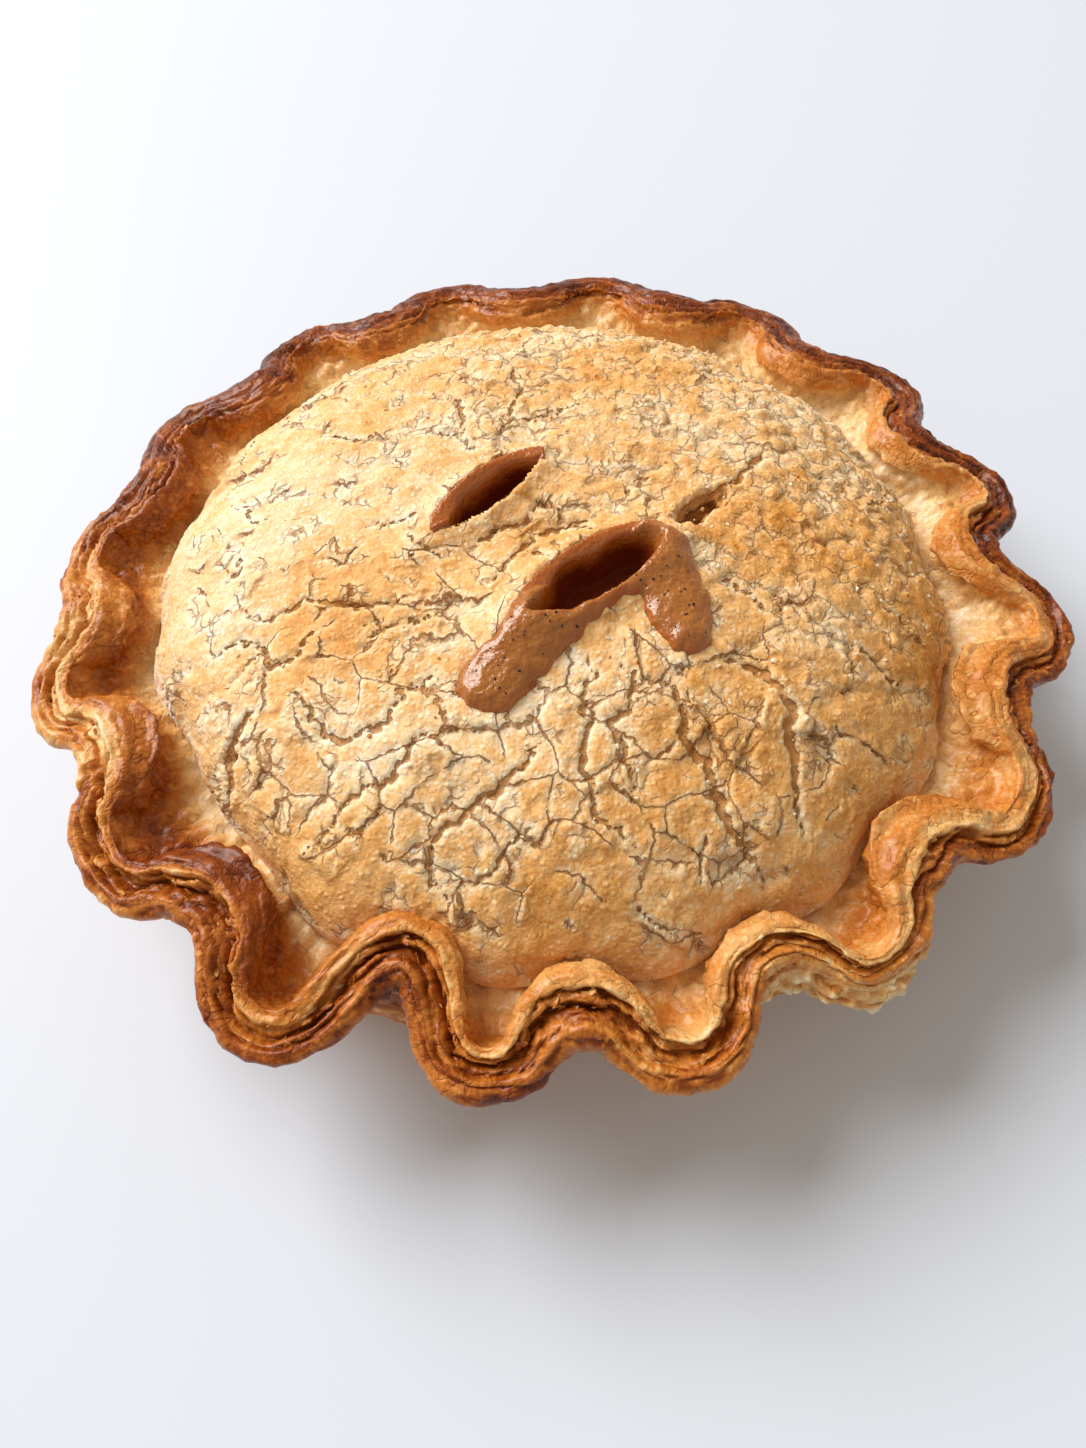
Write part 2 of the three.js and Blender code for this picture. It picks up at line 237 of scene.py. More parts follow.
# Baked shortcrust on the case and the rim: egg-washed, so it has a low sheen, and browned from cream through
# gold to a dark red-brown. The toast field says how far, and blisters, fine cracks, folds, patches, streaks
# and grain break it up. On the rim the toast field also holds painted light and shade, and the rim's gaps,
# layer seams and tuck are browned as painted shade.
CRUST_RAMP = [(0, "#f6e6c8"), (0.25, "#ebbe7c"), (0.5, "#cc8034"), (0.75, "#94460c"), (1, "#4c1602")]
BLISTER_SIZE = 2.6
MOTTLE_SIZE = 10
GRAIN_SIZE = 0.8
SKIN_CRACK_SIZE = 3.4
SKIN_CRACK_BEND = 0.9 * SKIN_CRACK_SIZE
STREAK_SIZE = 1.1
WRINKLE_SPACING = 5
CRUST_TONES = dict(mottle=0.6, grain=0.3, bubble=-0.12, streak=0.45, brink=-0.1, groove=0.3, skin=0.05)
CRUST_BUMPS = dict(grain=0.3, bubble=0.16, skin=-0.16, mottle=0.4, streak=0.35, fold=-0.2)
CRUST_ROUGHNESS = (0.24, 0.46)
egg_washed, tree, shader = new_material("egg_washed_shortcrust")
rest = held(tree, "rest", vector=True)
mottle = uneven(tree, rest, MOTTLE_SIZE, detail=5, roughness=0.65)
blister = cells(tree, rest, BLISTER_SIZE)
bend = add(tree, "ShaderNodeTexNoise", {"Vector": rest, "Scale": 1 / SKIN_CRACK_SIZE, "Detail": 3},
           out="Color")
bent = reckon_vector(tree, "MULTIPLY_ADD", bend, (SKIN_CRACK_BEND,) * 3, rest)
skin = cells(tree, bent, SKIN_CRACK_SIZE, feature="DISTANCE_TO_EDGE")
strip = held(tree, "strip", vector=True)
fold = reckon(tree, "ABSOLUTE", uneven(tree, rest, WRINKLE_SPACING))
layers = dict(
    mottle=mottle,
    grain=uneven(tree, rest, GRAIN_SIZE),
    bubble=fading(tree, blister, 0.1, 0.4),
    skin=product(tree, fading(tree, skin, 0.0, 0.09), between(tree, mottle, -0.04, 0.1),
                 between(tree, held(tree, "toast"), 0.45, 0.7)),
    streak=product(tree, uneven(tree, strip, STREAK_SIZE, detail=3, roughness=0.6),
                   between(tree, held(tree, "across"), 0.1, 0.5, low=0.3, high=1.2)),
    fold=product(tree, fading(tree, fold, 0.0, 0.035), between(tree, mottle, -0.1, 0.06)),
    brink=held(tree, "brink"), groove=held(tree, "groove"))
browned = layered_up(tree, held(tree, "toast"), CRUST_TONES, layers)
feed(tree, shader, {
    "Base Color": add(tree, "ShaderNodeValToRGB", {0: browned}, stops=CRUST_RAMP),
    "Roughness": add(tree, "ShaderNodeMapRange", {
        0: mottle, 1: -0.2, 2: 0.2, 3: CRUST_ROUGHNESS[0], 4: CRUST_ROUGHNESS[1]}),
    "Normal": add(tree, "ShaderNodeBump", {
        "Height": layered_up(tree, 0, CRUST_BUMPS, layers), "Distance": MM}, out="Normal"),
    "IOR": 1.45, "Specular IOR Level": 0.2, "Coat Weight": 0.3, "Coat Roughness": 0.22,
    "Subsurface Weight": 0.2, "Subsurface Radius": (2.0 * MM, 1.0 * MM, 0.4 * MM), "Subsurface Scale": 1})

# The wall's relief: low waves where the pastry shrank. The foot stays flat.
WAVE_SIZE = 22
WAVE_HEIGHT = 1.0
FLAT_FOOT = 1
FLAT_FOOT_FADE = 4
tree, given, result = new_tree("case_relief", WaveHeight=WAVE_HEIGHT)
wave = uneven(tree, held(tree, "rest", vector=True), WAVE_SIZE, detail=4, roughness=0.6)
height = product(tree, wave, given["WaveHeight"], held(tree, "free"))
settle(tree, result, given["Geometry"], height, egg_washed)

case_line = np.array([[BASE_RADIUS - BASE_INSET, 0], [BASE_RADIUS, 0],
                      [BASE_RADIUS + BASE_CORNER * CORNER_BULGE, BASE_CORNER * (1 - CORNER_BULGE)],
                      [BASE_RADIUS + BASE_CORNER, BASE_CORNER], [WALL_TOP_RADIUS, LIP_Z + 1]])
along = np.concatenate([[0], np.cumsum(np.hypot(*np.diff(case_line, axis=0).T))])
spread = np.linspace(0, along[-1], CASE_ROWS)
radius, level = [np.interp(spread, along, side) for side in case_line.T]
turn = np.arange(CASE_STEPS) * 2 * math.pi / CASE_STEPS
case_points = np.stack([radius[:, None] * np.sin(turn), -radius[:, None] * np.cos(turn),
                        np.repeat(level[:, None], CASE_STEPS, 1)], -1)
free = np.repeat(np.clip((level - FLAT_FOOT) / FLAT_FOOT_FADE, 0, 1), CASE_STEPS)
case = crust_object("pastry_case", case_points.reshape(-1, 3), ring_faces(CASE_ROWS, CASE_STEPS),
                    free=free, toast=np.full(len(free), CASE_TOAST))
finish_piece(case, tree, "pastry_crust", "pastry")

# Fluted rim
# The edges of both crusts, folded under together and pinched between finger and thumb into deep flutes. The
# pastry is laminated, so the folded edge has come open into thin sheets with dark gaps between them.
# For each flute: bearing of its pinch, radius of the ridge there, radius at the crest after it, how far the
# edge is split open, where across the ridge the inner sheet ends, how puffy the pinch is, how far it is
# browned, how far its pocket is filled with puffed pastry, and how far the inner sheet is tanned. On the
# left flutes the browning is lessened as painted light and sheen on the roll, and the tan is raised as
# painted shade in the pockets and on the lobes.
FLUTES = np.array([
    [2.5, 98, 109.5, 0.95, 0.3, 0.2, -0.06, 0.1, 0.06],
    [23.5, 98, 111, 0.9, 0.26, 0.3, -0.16, 0.1, 0.14],
    [46.5, 99.5, 113, 0.75, 0.56, 1.0, -0.14, 0.4, 0.2],
    [72.5, 101.5, 114.5, 0.6, 0.6, 1.0, 0.0, 1.0, 0.04],
    [95, 100, 114, 0.7, 0.4, 0.6, 0.14, 1.1, -0.08],
    [116, 101, 115, 0.6, 0.25, 0.4, 0.16, 1.0, -0.12],
    [137.5, 102, 113.5, 0.5, 0.1, 0.3, 0.16, 0.8, -0.04],
    [160, 103, 112, 0.4, 0.05, 0.3, 0.2, 0.6, -0.06],
    [184, 100.5, 111.5, 0.4, 0.05, 0.3, 0.2, 0.6, -0.08],
    [206.5, 100, 111, 0.4, 0.05, 0.3, 0.22, 0.6, -0.06],
    [229, 100, 111, 0.4, 0.08, 0.3, 0.2, 0.5, 0.0],
    [252, 102, 111, 0.5, 0.2, 0.4, 0.08, 0.5, 0.28],
    [274.5, 105, 113, 0.65, 0.36, 0.6, -0.28, 0.6, 0.42],
    [294, 102.5, 112, 0.9, 0.42, 0.9, -0.22, 0.5, 0.4],
    [319.5, 101.5, 114.5, 1.0, 0.4, 0.8, -0.06, 0.2, 0.5],
    [342.5, 91.5, 109.5, 1.0, 0.3, 0.3, -0.02, 0.0, 0.12],
])
MEANDER = 0.4
RIDGE_Z = 44
RIDGE_LIFT = 2.2
RIDGE_MEAN_RADIUS = 106
RIDGE_DROP = 3.2
RIDGE_ROUND = 1.4
CREST_WIDTH = 8.5
PINCH_WIDTH = 11.5
MEAN_WIDTH = (CREST_WIDTH + PINCH_WIDTH) / 2
LIP_RADIUS = 104.5
LIP_FOLLOW = 0.15
LIP_THICKNESS = 2
CREASE_RADIUS = 92
CREASE_Z = 34
CREASE_FOLLOW = 0.2
CREASE_DENT = 5
CREASE_DENT_BEARING = 305
CREASE_DENT_REACH = 16
POCKET_RISE_AT_CREST = 0.8
POCKET_RISE_AT_PINCH = 3
POCKET_FILL = 4.4
WALL_RISE_AT_CREST = 0.4
WALL_RISE_AT_PINCH = 0.6
WALL_PUFF = 0.28
WALL_FILL = 0.2
VALLEY_DROP = 2.24
VALLEY_FILL = 0.7
LOBE_REACH = 2
LOBE_PUFF = 1.3
PUFF_HEIGHT = 1.2
STEPS_PER_FLUTE = 56

pinch_bearing = FLUTES[:, 0]
span = (np.roll(pinch_bearing, -1) - pinch_bearing) % 360
next_pinch = np.roll(FLUTES[:, 1], -1)


def lerp(start, end, share):
    """Part of the way from start to end."""
    return start + (end - start) * share


def smooth(start, end, value):
    """Goes smoothly from nought to one as a value goes from start to end."""
    share = np.clip((value - start) / (end - start), 0, 1)
    return share * share * (3 - 2 * share)


def off_bearing(bearing, middle):
    """Degrees from one bearing to another, the short way round."""
    return (bearing - middle + 180) % 360 - 180


def in_plan(bearing, radius):
    """Point at a bearing in degrees from the front, towards +X, and a radius from the middle."""
    return np.stack([radius * np.sin(np.radians(bearing)), -radius * np.cos(np.radians(bearing))], -1)


def ridge_radius(flute, along):
    """Radius of the ridge part of the way along a flute, from one pinch over the crest to the next pinch."""
    pinch = np.where(along < 0.5, FLUTES[flute, 1], next_pinch[flute])
    return lerp(FLUTES[flute, 2], pinch, (1 + np.cos(2 * math.pi * along)) / 2)


def crease_radius(bearing):
    """Radius of the crease between lid and rim, which follows the flutes a little."""
    turned = (bearing - pinch_bearing[0]) % 360 + pinch_bearing[0]
    flute = np.searchsorted(pinch_bearing, turned, side="right") - 1
    ridge = ridge_radius(flute, (turned - pinch_bearing[flute]) / span[flute])
    dent = CREASE_DENT * np.exp(-(off_bearing(bearing, CREASE_DENT_BEARING) / CREASE_DENT_REACH)**2)
    return CREASE_RADIUS + CREASE_FOLLOW * (ridge - RIDGE_MEAN_RADIUS) - dent


rim_steps = len(FLUTES) * STEPS_PER_FLUTE
place = np.arange(rim_steps) / STEPS_PER_FLUTE
flute = np.floor(place).astype(int)
along = place - flute
wound = along + MEANDER * np.sin(4 * math.pi * along) / (4 * math.pi)
bearing = pinch_bearing[flute] + span[flute] * wound
middle = in_plan(bearing, ridge_radius(flute, along))
pinched = (1 + np.cos(2 * math.pi * place)) / 2
split, sheet, puff, bake_and_painted_light, fill, tan_and_painted_shade = [
    np.interp(place, np.arange(len(FLUTES) + 1), np.append(column, column[0])) for column in FLUTES.T[3:]]
puff = puff * pinched
ahead = np.roll(middle, -1, 0) - np.roll(middle, 1, 0)
ahead /= np.linalg.norm(ahead, axis=1)[:, None]
outward = np.stack([ahead[:, 1], -ahead[:, 0]], -1)
ridge_width = lerp(CREST_WIDTH, PINCH_WIDTH, pinched)
top = RIDGE_Z + RIDGE_LIFT * (2 * pinched - 1)
edge = top - RIDGE_DROP
crease = in_plan(bearing, crease_radius(bearing))
lip_radius = LIP_RADIUS + LIP_FOLLOW * (np.linalg.norm(middle, axis=1) - RIDGE_MEAN_RADIUS)
lip = in_plan(bearing, lip_radius)
inner = middle - outward * ridge_width[:, None] / 2
outer = middle + outward * ridge_width[:, None] / 2
lobe = in_plan(bearing, -1.0) * (LOBE_REACH * (pinched + LOBE_PUFF * puff))[:, None]


def rim_ring(plan, level):
    """One ring of the rim's points, at a level or at a level for each point."""
    return np.concatenate([plan, np.broadcast_to(level, rim_steps)[:, None]], 1)


# The rim in section: places across it, from the crease at -1 over the ridge, 0 to 1, to the lip at 2. The
# first and last rings lie inside the pie. Over one stretch at the front right the roll has drawn back, so
# that the broken outer face below it shows.
BROKEN_BEARING = 30
BROKEN_REACH = 11
BROKEN_SHIFT = 4.5
broken = np.exp(-(off_bearing(bearing, BROKEN_BEARING) / BROKEN_REACH)**4)
drawn_back = -outward * (BROKEN_SHIFT * broken)[:, None]
face = lerp(lerp(outer, lip, 0.45), outer + 0.1 * drawn_back, broken[:, None])
foot = lerp(lip, outer + 0.5 * drawn_back, broken[:, None])
pocket = lerp(POCKET_RISE_AT_CREST, POCKET_RISE_AT_PINCH, pinched) + POCKET_FILL * fill
wall = lerp(WALL_RISE_AT_CREST, WALL_RISE_AT_PINCH, pinched) + WALL_PUFF * puff
wall += WALL_FILL * fill * (1 - pinched)
valley = VALLEY_DROP * (1 - VALLEY_FILL * fill)
section = [
    (-1.3, rim_ring(crease * 0.94, CREASE_Z - 5)),
    (-1.0, rim_ring(crease * 0.978, CREASE_Z + 0.5 - valley)),
    (-0.6, rim_ring(lerp(crease, inner, 0.45), CREASE_Z + pocket - valley)),
    (-0.25, rim_ring(lerp(crease, inner, 0.85) + lobe, lerp(CREASE_Z, top, wall))),
    (0.0, rim_ring(inner + 0.4 * lobe, top - RIDGE_ROUND)),
    (0.12, rim_ring(lerp(inner, outer, 0.12), top)),
    (0.5, rim_ring(middle + 0.5 * drawn_back, lerp(top, edge, 0.5) + PUFF_HEIGHT * puff)),
    (0.88, rim_ring(lerp(inner, outer, 0.88) + drawn_back, lerp(top, edge, 0.88))),
    (1.0, rim_ring(outer + drawn_back, edge - RIDGE_ROUND)),
    (1.4, rim_ring(face, lerp(edge, LIP_Z, 0.5))),
    (2.0, rim_ring(foot, LIP_Z + LIP_THICKNESS)),
    (2.2, rim_ring(lip * (1 - LIP_THICKNESS / 2 / LIP_RADIUS), LIP_Z)),
    (2.5, rim_ring(in_plan(bearing, WALL_TOP_RADIUS - 1), LIP_Z - 0.3)),
    (2.8, rim_ring(in_plan(bearing, WALL_TOP_RADIUS - 8), LIP_Z - 1)),
]
ROWS_BETWEEN = [1, 7, 8, 8, 6, 18, 18, 7, 8, 9, 4, 3, 1]
rows, across = [], []
for index, count in enumerate(ROWS_BETWEEN):
    near = [section[min(max(index + k, 0), len(section) - 1)] for k in (-1, 0, 1, 2)]
    for share in np.arange(count) / count:
        curve = (-share + 2 * share**2 - share**3, 2 - 5 * share**2 + 3 * share**3,
                 share + 4 * share**2 - 3 * share**3, -share**2 + share**3)
        rows.append(sum(weight * each[1] for weight, each in zip(curve, near)) / 2)
        across.append(lerp(near[1][0], near[2][0], share))
rows.append(section[-1][1])
across.append(section[-1][0])
rim_points = np.array(rows)
across = np.repeat(np.array(across)[:, None], rim_steps, 1)

# Browning across the rim: cream in the pocket, gold on the inner sheet, dark on the outer roll. The broken
# stretch is paler.
BROWNING = ([-1, -0.85, -0.6, -0.2, 0.05, 0.3, 0.55, 0.8, 1.2, 1.6, 2.0, 2.5],
            [0.14, 0.2, 0.31, 0.4, 0.41, 0.43, 0.5, 0.54, 0.56, 0.5, 0.45, 0.45])
CRUMBLY_PALENESS = 0.34
BROKEN_PALENESS = 0.12
crumbly = broken * smooth(1.0, 1.12, across) * smooth(2.2, 2.0, across)
# The flutes' own browning and tan come in here: on the left they hold painted light and sheen on the roll
# and painted shade in the pockets and on the lobes.
browning = np.interp(across, *BROWNING) + bake_and_painted_light * smooth(-0.6, 0, across)
browning += tan_and_painted_shade * smooth(-0.95, -0.45, across) * smooth(0.5, 0.1, across)
browning -= CRUMBLY_PALENESS * crumbly
browning -= BROKEN_PALENESS * broken * smooth(0.5, 0.8, across) * smooth(1.12, 1.0, across)

# The pastry's grain runs along the rim: a place in it is counted slowly round the rim and fully across it
STREAK_STRETCH = 10
turn = np.radians(np.broadcast_to(bearing, across.shape))
round_rim = RIDGE_MEAN_RADIUS / STREAK_STRETCH
strip = np.stack([round_rim * np.sin(turn), round_rim * np.cos(turn), across * MEAN_WIDTH], -1)
rim = crust_object(
    "pastry_rim", rim_points.reshape(-1, 3), ring_faces(len(rows), rim_steps, looped=True),
    across=across.ravel(), toast=browning.ravel(), crumbly=crumbly.ravel(), strip=strip.reshape(-1, 3),
    split=np.tile(split, len(rows)), sheet=np.tile(sheet, len(rows)),
    ahead=np.tile(np.concatenate([ahead, 0 * ahead[:, :1]], 1), (len(rows), 1)))

# The ridge's relief: the inner sheet ends in a raised ragged edge, then comes a deep gap where the split
# layers stand on edge, each to its own height, and then the outer roll, which shows more layers as shallow
# grooves. Where the edge is not split, the sheet is only tucked in. The rim also has lumps, blisters, folds,
# wrinkles and crumbs.
GAP_START = -0.02
GAP_WALL = 0.05
GAP_END = 0.44
EDGE_PATCH_SIZE = 15
ROLL_BROWNING = 0.15
LAYER_RISE_SIZE = 7
LAYER_BEND_SIZE = 11
LAYER_BEND = 3.0
LAYER_TONE = 0.6
STREAK_BEND = 3
TUCK_PLACE = -0.03
LUMP_SIZE = 9
RIM_BLISTER_SIZE = 3.6
WRINKLE_SIZE = 3
WANDER_SIZE = 26
WANDER_REACH = 0.5
WANDER_OPENING = 1.4
RAGGED_SIZE = 4
RAGGED_REACH = 0.34
CRUMB_SIZE = 2.6
tree, given, result = new_tree(
    "rim_relief", RecessDepth=3.8, EdgeHeight=0.7, RollHeight=1.3, LayerPitch=1.9, LayerGroove=0.6,
    LumpHeight=2.3, BlisterHeight=1.3, WrinkleHeight=0.7, CrumbHeight=1.6, StreakHeight=0.6, FoldHeight=0.5,
    TuckDepth=1.0)
rest = held(tree, "rest", vector=True)
across_rim = held(tree, "across")
is_split = held(tree, "split")
wander = uneven(tree, rest, WANDER_SIZE, detail=1)
ragged = uneven(tree, rest, RAGGED_SIZE, detail=3, roughness=0.6)
spot = total(tree, across_rim, (held(tree, "sheet"), -1), (wander, WANDER_REACH), (ragged, RAGGED_REACH))
opened = add(tree, "ShaderNodeMath", {0: wander, 1: WANDER_OPENING, 2: is_split}, operation="MULTIPLY_ADD",
             use_clamp=True)
recess = product(tree, between(tree, spot, GAP_START, GAP_START + GAP_WALL),
                 fading(tree, spot, GAP_END - 0.24, GAP_END), opened)

# Each layer by its number, the place within it, and how high it stands
layer = total(tree, product(tree, spot, MEAN_WIDTH), (uneven(tree, rest, LAYER_BEND_SIZE), LAYER_BEND))
layer = reckon(tree, "DIVIDE", layer, given["LayerPitch"])
number = reckon(tree, "FLOOR", layer)
in_layer = reckon(tree, "SUBTRACT", reckon(tree, "FRACT", layer), 0.5)
seam = between(tree, reckon(tree, "ABSOLUTE", in_layer), 0.2, 0.46)
apart = add(tree, "ShaderNodeCombineXYZ", {2: product(tree, number, 10 * LAYER_RISE_SIZE)})
own_place = reckon_vector(tree, "ADD", rest, apart)
standing = between(tree, uneven(tree, own_place, LAYER_RISE_SIZE, detail=4, roughness=0.6), -0.16, 0.12)
shown = product(tree, total(tree, 1, (seam, -1)), total(tree, 0.1, (standing, 0.8)))
hollow = product(tree, recess, total(tree, 1, (shown, -1)))
layered = product(tree, between(tree, spot, GAP_END - 0.3, GAP_END), seam, between(tree, standing, 0.2, 0.6),
                  between(tree, is_split, 0.35, 0.7), fading(tree, across_rim, 1.2, 1.7))

# The sheet's raised edge, the roll beyond it, and the tuck where the edge is closed
brink = reckon(tree, "ABSOLUTE", reckon(tree, "SUBTRACT", spot, GAP_START - GAP_WALL))
brink = product(tree, fading(tree, brink, 0.01, 0.1), opened,
                between(tree, across_rim, -0.05, 0.1),
                between(tree, uneven(tree, rest, EDGE_PATCH_SIZE), -0.14, 0.1))
beyond = between(tree, spot, 0, 0.3)
roll = product(tree, beyond, between(tree, spot, 0.3, 0.55, low=0.4, high=1),
               fading(tree, across_rim, 1.0, 1.5))
tucked = reckon(tree, "ABSOLUTE", reckon(tree, "SUBTRACT", spot, TUCK_PLACE))
tucked = product(tree, fading(tree, tucked, 0.0, 0.09),
                 fading(tree, is_split, 0.4, 0.65))

# Crumbs on the broken stretch, blisters in the pockets, streaks along the roll and folds on the inner sheet
crumb = cells(tree, rest, CRUMB_SIZE)
crumb = product(tree, between(tree, crumb, 0.1, 0.7, low=0.5, high=-0.5), held(tree, "crumbly"))
blister = add(tree, "ShaderNodeTexVoronoi", {
    "Vector": rest, "Scale": 1 / RIM_BLISTER_SIZE, "Smoothness": 0.4}, feature="SMOOTH_F1")
blister = product(tree, between(tree, blister, 0.1, 0.7, low=0.5, high=-0.5),
                  between(tree, across_rim, -0.45, -0.1, low=1.3, high=0.3))
warped = add(tree, "ShaderNodeTexNoise", {"Vector": rest, "Scale": 1 / LUMP_SIZE}, out="Color")
warped = reckon_vector(tree, "MULTIPLY_ADD", warped, (0, 0, STREAK_BEND), held(tree, "strip", vector=True))
streak = product(tree, uneven(tree, warped, 1.5 * STREAK_SIZE, detail=3, roughness=0.6),
                 between(tree, across_rim, 0.1, 0.5, low=0.25, high=1.4))
fold = reckon(tree, "ABSOLUTE", uneven(tree, rest, WRINKLE_SPACING))
fold = product(tree, fading(tree, fold, 0.0, 0.09),
               fading(tree, across_rim, 0.2, 0.5))
height = relief(
    tree, given, RecessDepth=product(tree, hollow, -1), EdgeHeight=brink, StreakHeight=streak,
    FoldHeight=product(tree, fold, -1), RollHeight=roll, LayerGroove=product(tree, layered, -1),
    TuckDepth=product(tree, tucked, -1), LumpHeight=uneven(tree, rest, LUMP_SIZE, detail=3),
    BlisterHeight=blister, WrinkleHeight=uneven(tree, rest, WRINKLE_SIZE, detail=4, roughness=0.6),
    CrumbHeight=crumb)
# Painted shade: the gap, the layer seams and the tuck are browned where shade falls in them, and the crumbs
# are paler.
painted_recess_shade = total(tree, hollow, (layered, 0.6), (tucked, 0.5), (crumb, -0.5))
tone = product(tree, uneven(tree, own_place, 2 * LAYER_RISE_SIZE, detail=3),
               between(tree, spot, GAP_START, GAP_START + 0.1))
toasted = total(tree, held(tree, "toast"), (tone, LAYER_TONE), (beyond, ROLL_BROWNING))
kept = keep_fields(tree, given["Geometry"], groove=painted_recess_shade, recess=recess, brink=brink, toast=toasted)
settle(tree, result, kept, height, egg_washed)
finish_piece(rim, tree, "pastry_crust", "pastry")

# Loose flakes on the rim
# Thin scales of baked pastry that have come away from the sheets and stand or lie in the gap and along its
# edge, lengthwise along the ridge.
FLAKE_SHAPE = dict(Density=0.08, Length=1.3, Width=0.5, Thickness=0.16)
FLAKE_TOAST = (0.4, 0.85)
FLAKE_LEAN = 0.7
BIT_SIZES = (0.45, 1.25)
BIT_GRAIN_SIZE = 0.8
BIT_ROUGHNESS = 0.9


def strew(name, ground, wanted, node, slot, material, seed, toast, shape, lean):
    """One piece made of many small bits of a kind that lie on another piece, where a field of it asks for
    them: they are longest along the ground's own direction and lean off it by up to an angle. The shape
    gives the bits to a square millimetre and their half sizes."""
    tree, given, result = new_tree(name, Density=1, Length=1, Width=1, Thickness=1)
    points = add(tree, "GeometryNodeDistributePointsOnFaces", {
        "Mesh": given["Geometry"], "Seed": seed,
        "Density": product(tree, held(tree, wanted), given["Density"], 1 / MM**2)})
    turned = add(tree, "FunctionNodeAlignRotationToVector", {
        "Rotation": points.node.outputs["Rotation"], "Vector": held(tree, "ahead", vector=True)},
        axis="X", pivot_axis="Z")
    tilt = add(tree, "FunctionNodeRandomValue", {0: (-lean,) * 3, 1: (lean,) * 3, "Seed": seed + 1},
               data_type="FLOAT_VECTOR")
    tilt = add(tree, "FunctionNodeEulerToRotation", {0: tilt})
    turned = add(tree, "FunctionNodeRotateRotation", {"Rotation": turned, "Rotate By": tilt},
                 rotation_space="LOCAL")
    shade, growth = [
        add(tree, "FunctionNodeRandomValue", {2: low, 3: high, "Seed": own_seed}, data_type="FLOAT", out=1)
        for (low, high), own_seed in ((toast, seed + 2), (BIT_SIZES, seed + 3))]
    points = keep_fields(tree, points, toast=shade, groove=0, brink=0)
    ball = add(tree, "GeometryNodeMeshIcoSphere", {"Radius": MM, "Subdivisions": 1})
    size = add(tree, "ShaderNodeCombineXYZ", {0: given["Length"], 1: given["Width"], 2: given["Thickness"]})
    bits = add(tree, "GeometryNodeInstanceOnPoints", {
        "Points": points, "Instance": ball, "Rotation": turned, "Scale": scaled(tree, size, growth)})
    bits = add(tree, "GeometryNodeRealizeInstances", {"Geometry": bits})
    spot = scaled(tree, add(tree, "GeometryNodeInputPosition"), 1 / MM)
    bits = add(tree, "GeometryNodeStoreNamedAttribute", {"Geometry": bits, "Name": "rest", "Value": spot},
               domain="POINT", data_type="FLOAT_VECTOR")
    bits = add(tree, "GeometryNodeSetShadeSmooth", {"Geometry": bits, "Shade Smooth": False})
    rough = product(tree, uneven(tree, held(tree, "rest", vector=True), BIT_GRAIN_SIZE), BIT_ROUGHNESS)
    settle(tree, result, bits, rough, material)
    finish_piece(in_scene(name, ground.data), tree, node, slot, **shape)


strew("rim_flakes", rim, "recess", "pastry_crust", "pastry", egg_washed, 3, FLAKE_TOAST, FLAKE_SHAPE,
      FLAKE_LEAN)

# Lid
# The top crust: one round of shortcrust laid over the filling, slit twice for steam, and baked until it
# domed and cracked into plates and flakes. It is one piece with the rim all round its foot.
LID_RISE = 32
LID_FLATNESS = 2.8
LID_SHOULDER = 0.6
LUMP_SPACING = 46
LID_LUMP_HEIGHT = 0.8
LUMP_SLANT = 0.35
CREASE_FOLLOW_FADE = 8
VENTS = {
    "gravy_front_vent": dict(centre=(8.5, -17), axis=37, length=37, width=14),
    "gravy_back_vent": dict(centre=(-13, 6), axis=44, length=32, width=10),
}
VENT_POINTEDNESS = 1.8
VENT_LIP_HEIGHT = 2.2
VENT_LIP_SPREAD = 0.55
LID_CELLS = 300
PROFILE_STEPS = 2000


def vent_place(vent, x, y):
    """How far a point is from the middle of a vent, counted in the vent's own radius in that direction."""
    dx, dy = x - vent["centre"][0], y - vent["centre"][1]
    turn = np.arctan2(dy, dx) - math.radians(vent["axis"])
    power = VENT_POINTEDNESS
    lengthwise = (np.abs(np.cos(turn)) * 2 / vent["length"])**power
    crosswise = (np.abs(np.sin(turn)) * 2 / vent["width"])**power
    return np.hypot(dx, dy) * (lengthwise + crosswise)**(1 / power)


def lid_radius(bearing, share):
    """Radius of the lid's foot at a bearing, blended into a plain circle towards the middle of the lid."""
    return lerp(CREASE_RADIUS, crease_radius(bearing), share**CREASE_FOLLOW_FADE)


def pillow(share):
    """Height of the dome at a share of the way from the middle to the foot."""
    return LID_RISE * (1 - share**LID_FLATNESS)**LID_SHOULDER


def lid_height(x, y, share=None):
    """Height of the lid: the pillow, its broad lumps and the raised lips of the vents."""
    if share is None:
        out = np.hypot(x, y)
        foot = lid_radius(np.degrees(np.arctan2(x, -y)), np.minimum(1, out / CREASE_RADIUS))
        share = np.minimum(1, out / foot)
    wave = 2 * math.pi / LUMP_SPACING
    lumps = np.sin(wave * (x + LUMP_SLANT * y) + 1) * np.cos(wave * (y - LUMP_SLANT * x))
    level = CREASE_Z + pillow(share) + LID_LUMP_HEIGHT * lumps * (1 - share**2)
    for vent in VENTS.values():
        level = level + VENT_LIP_HEIGHT * np.exp(-((vent_place(vent, x, y) - 1) / VENT_LIP_SPREAD)**2)
    return level


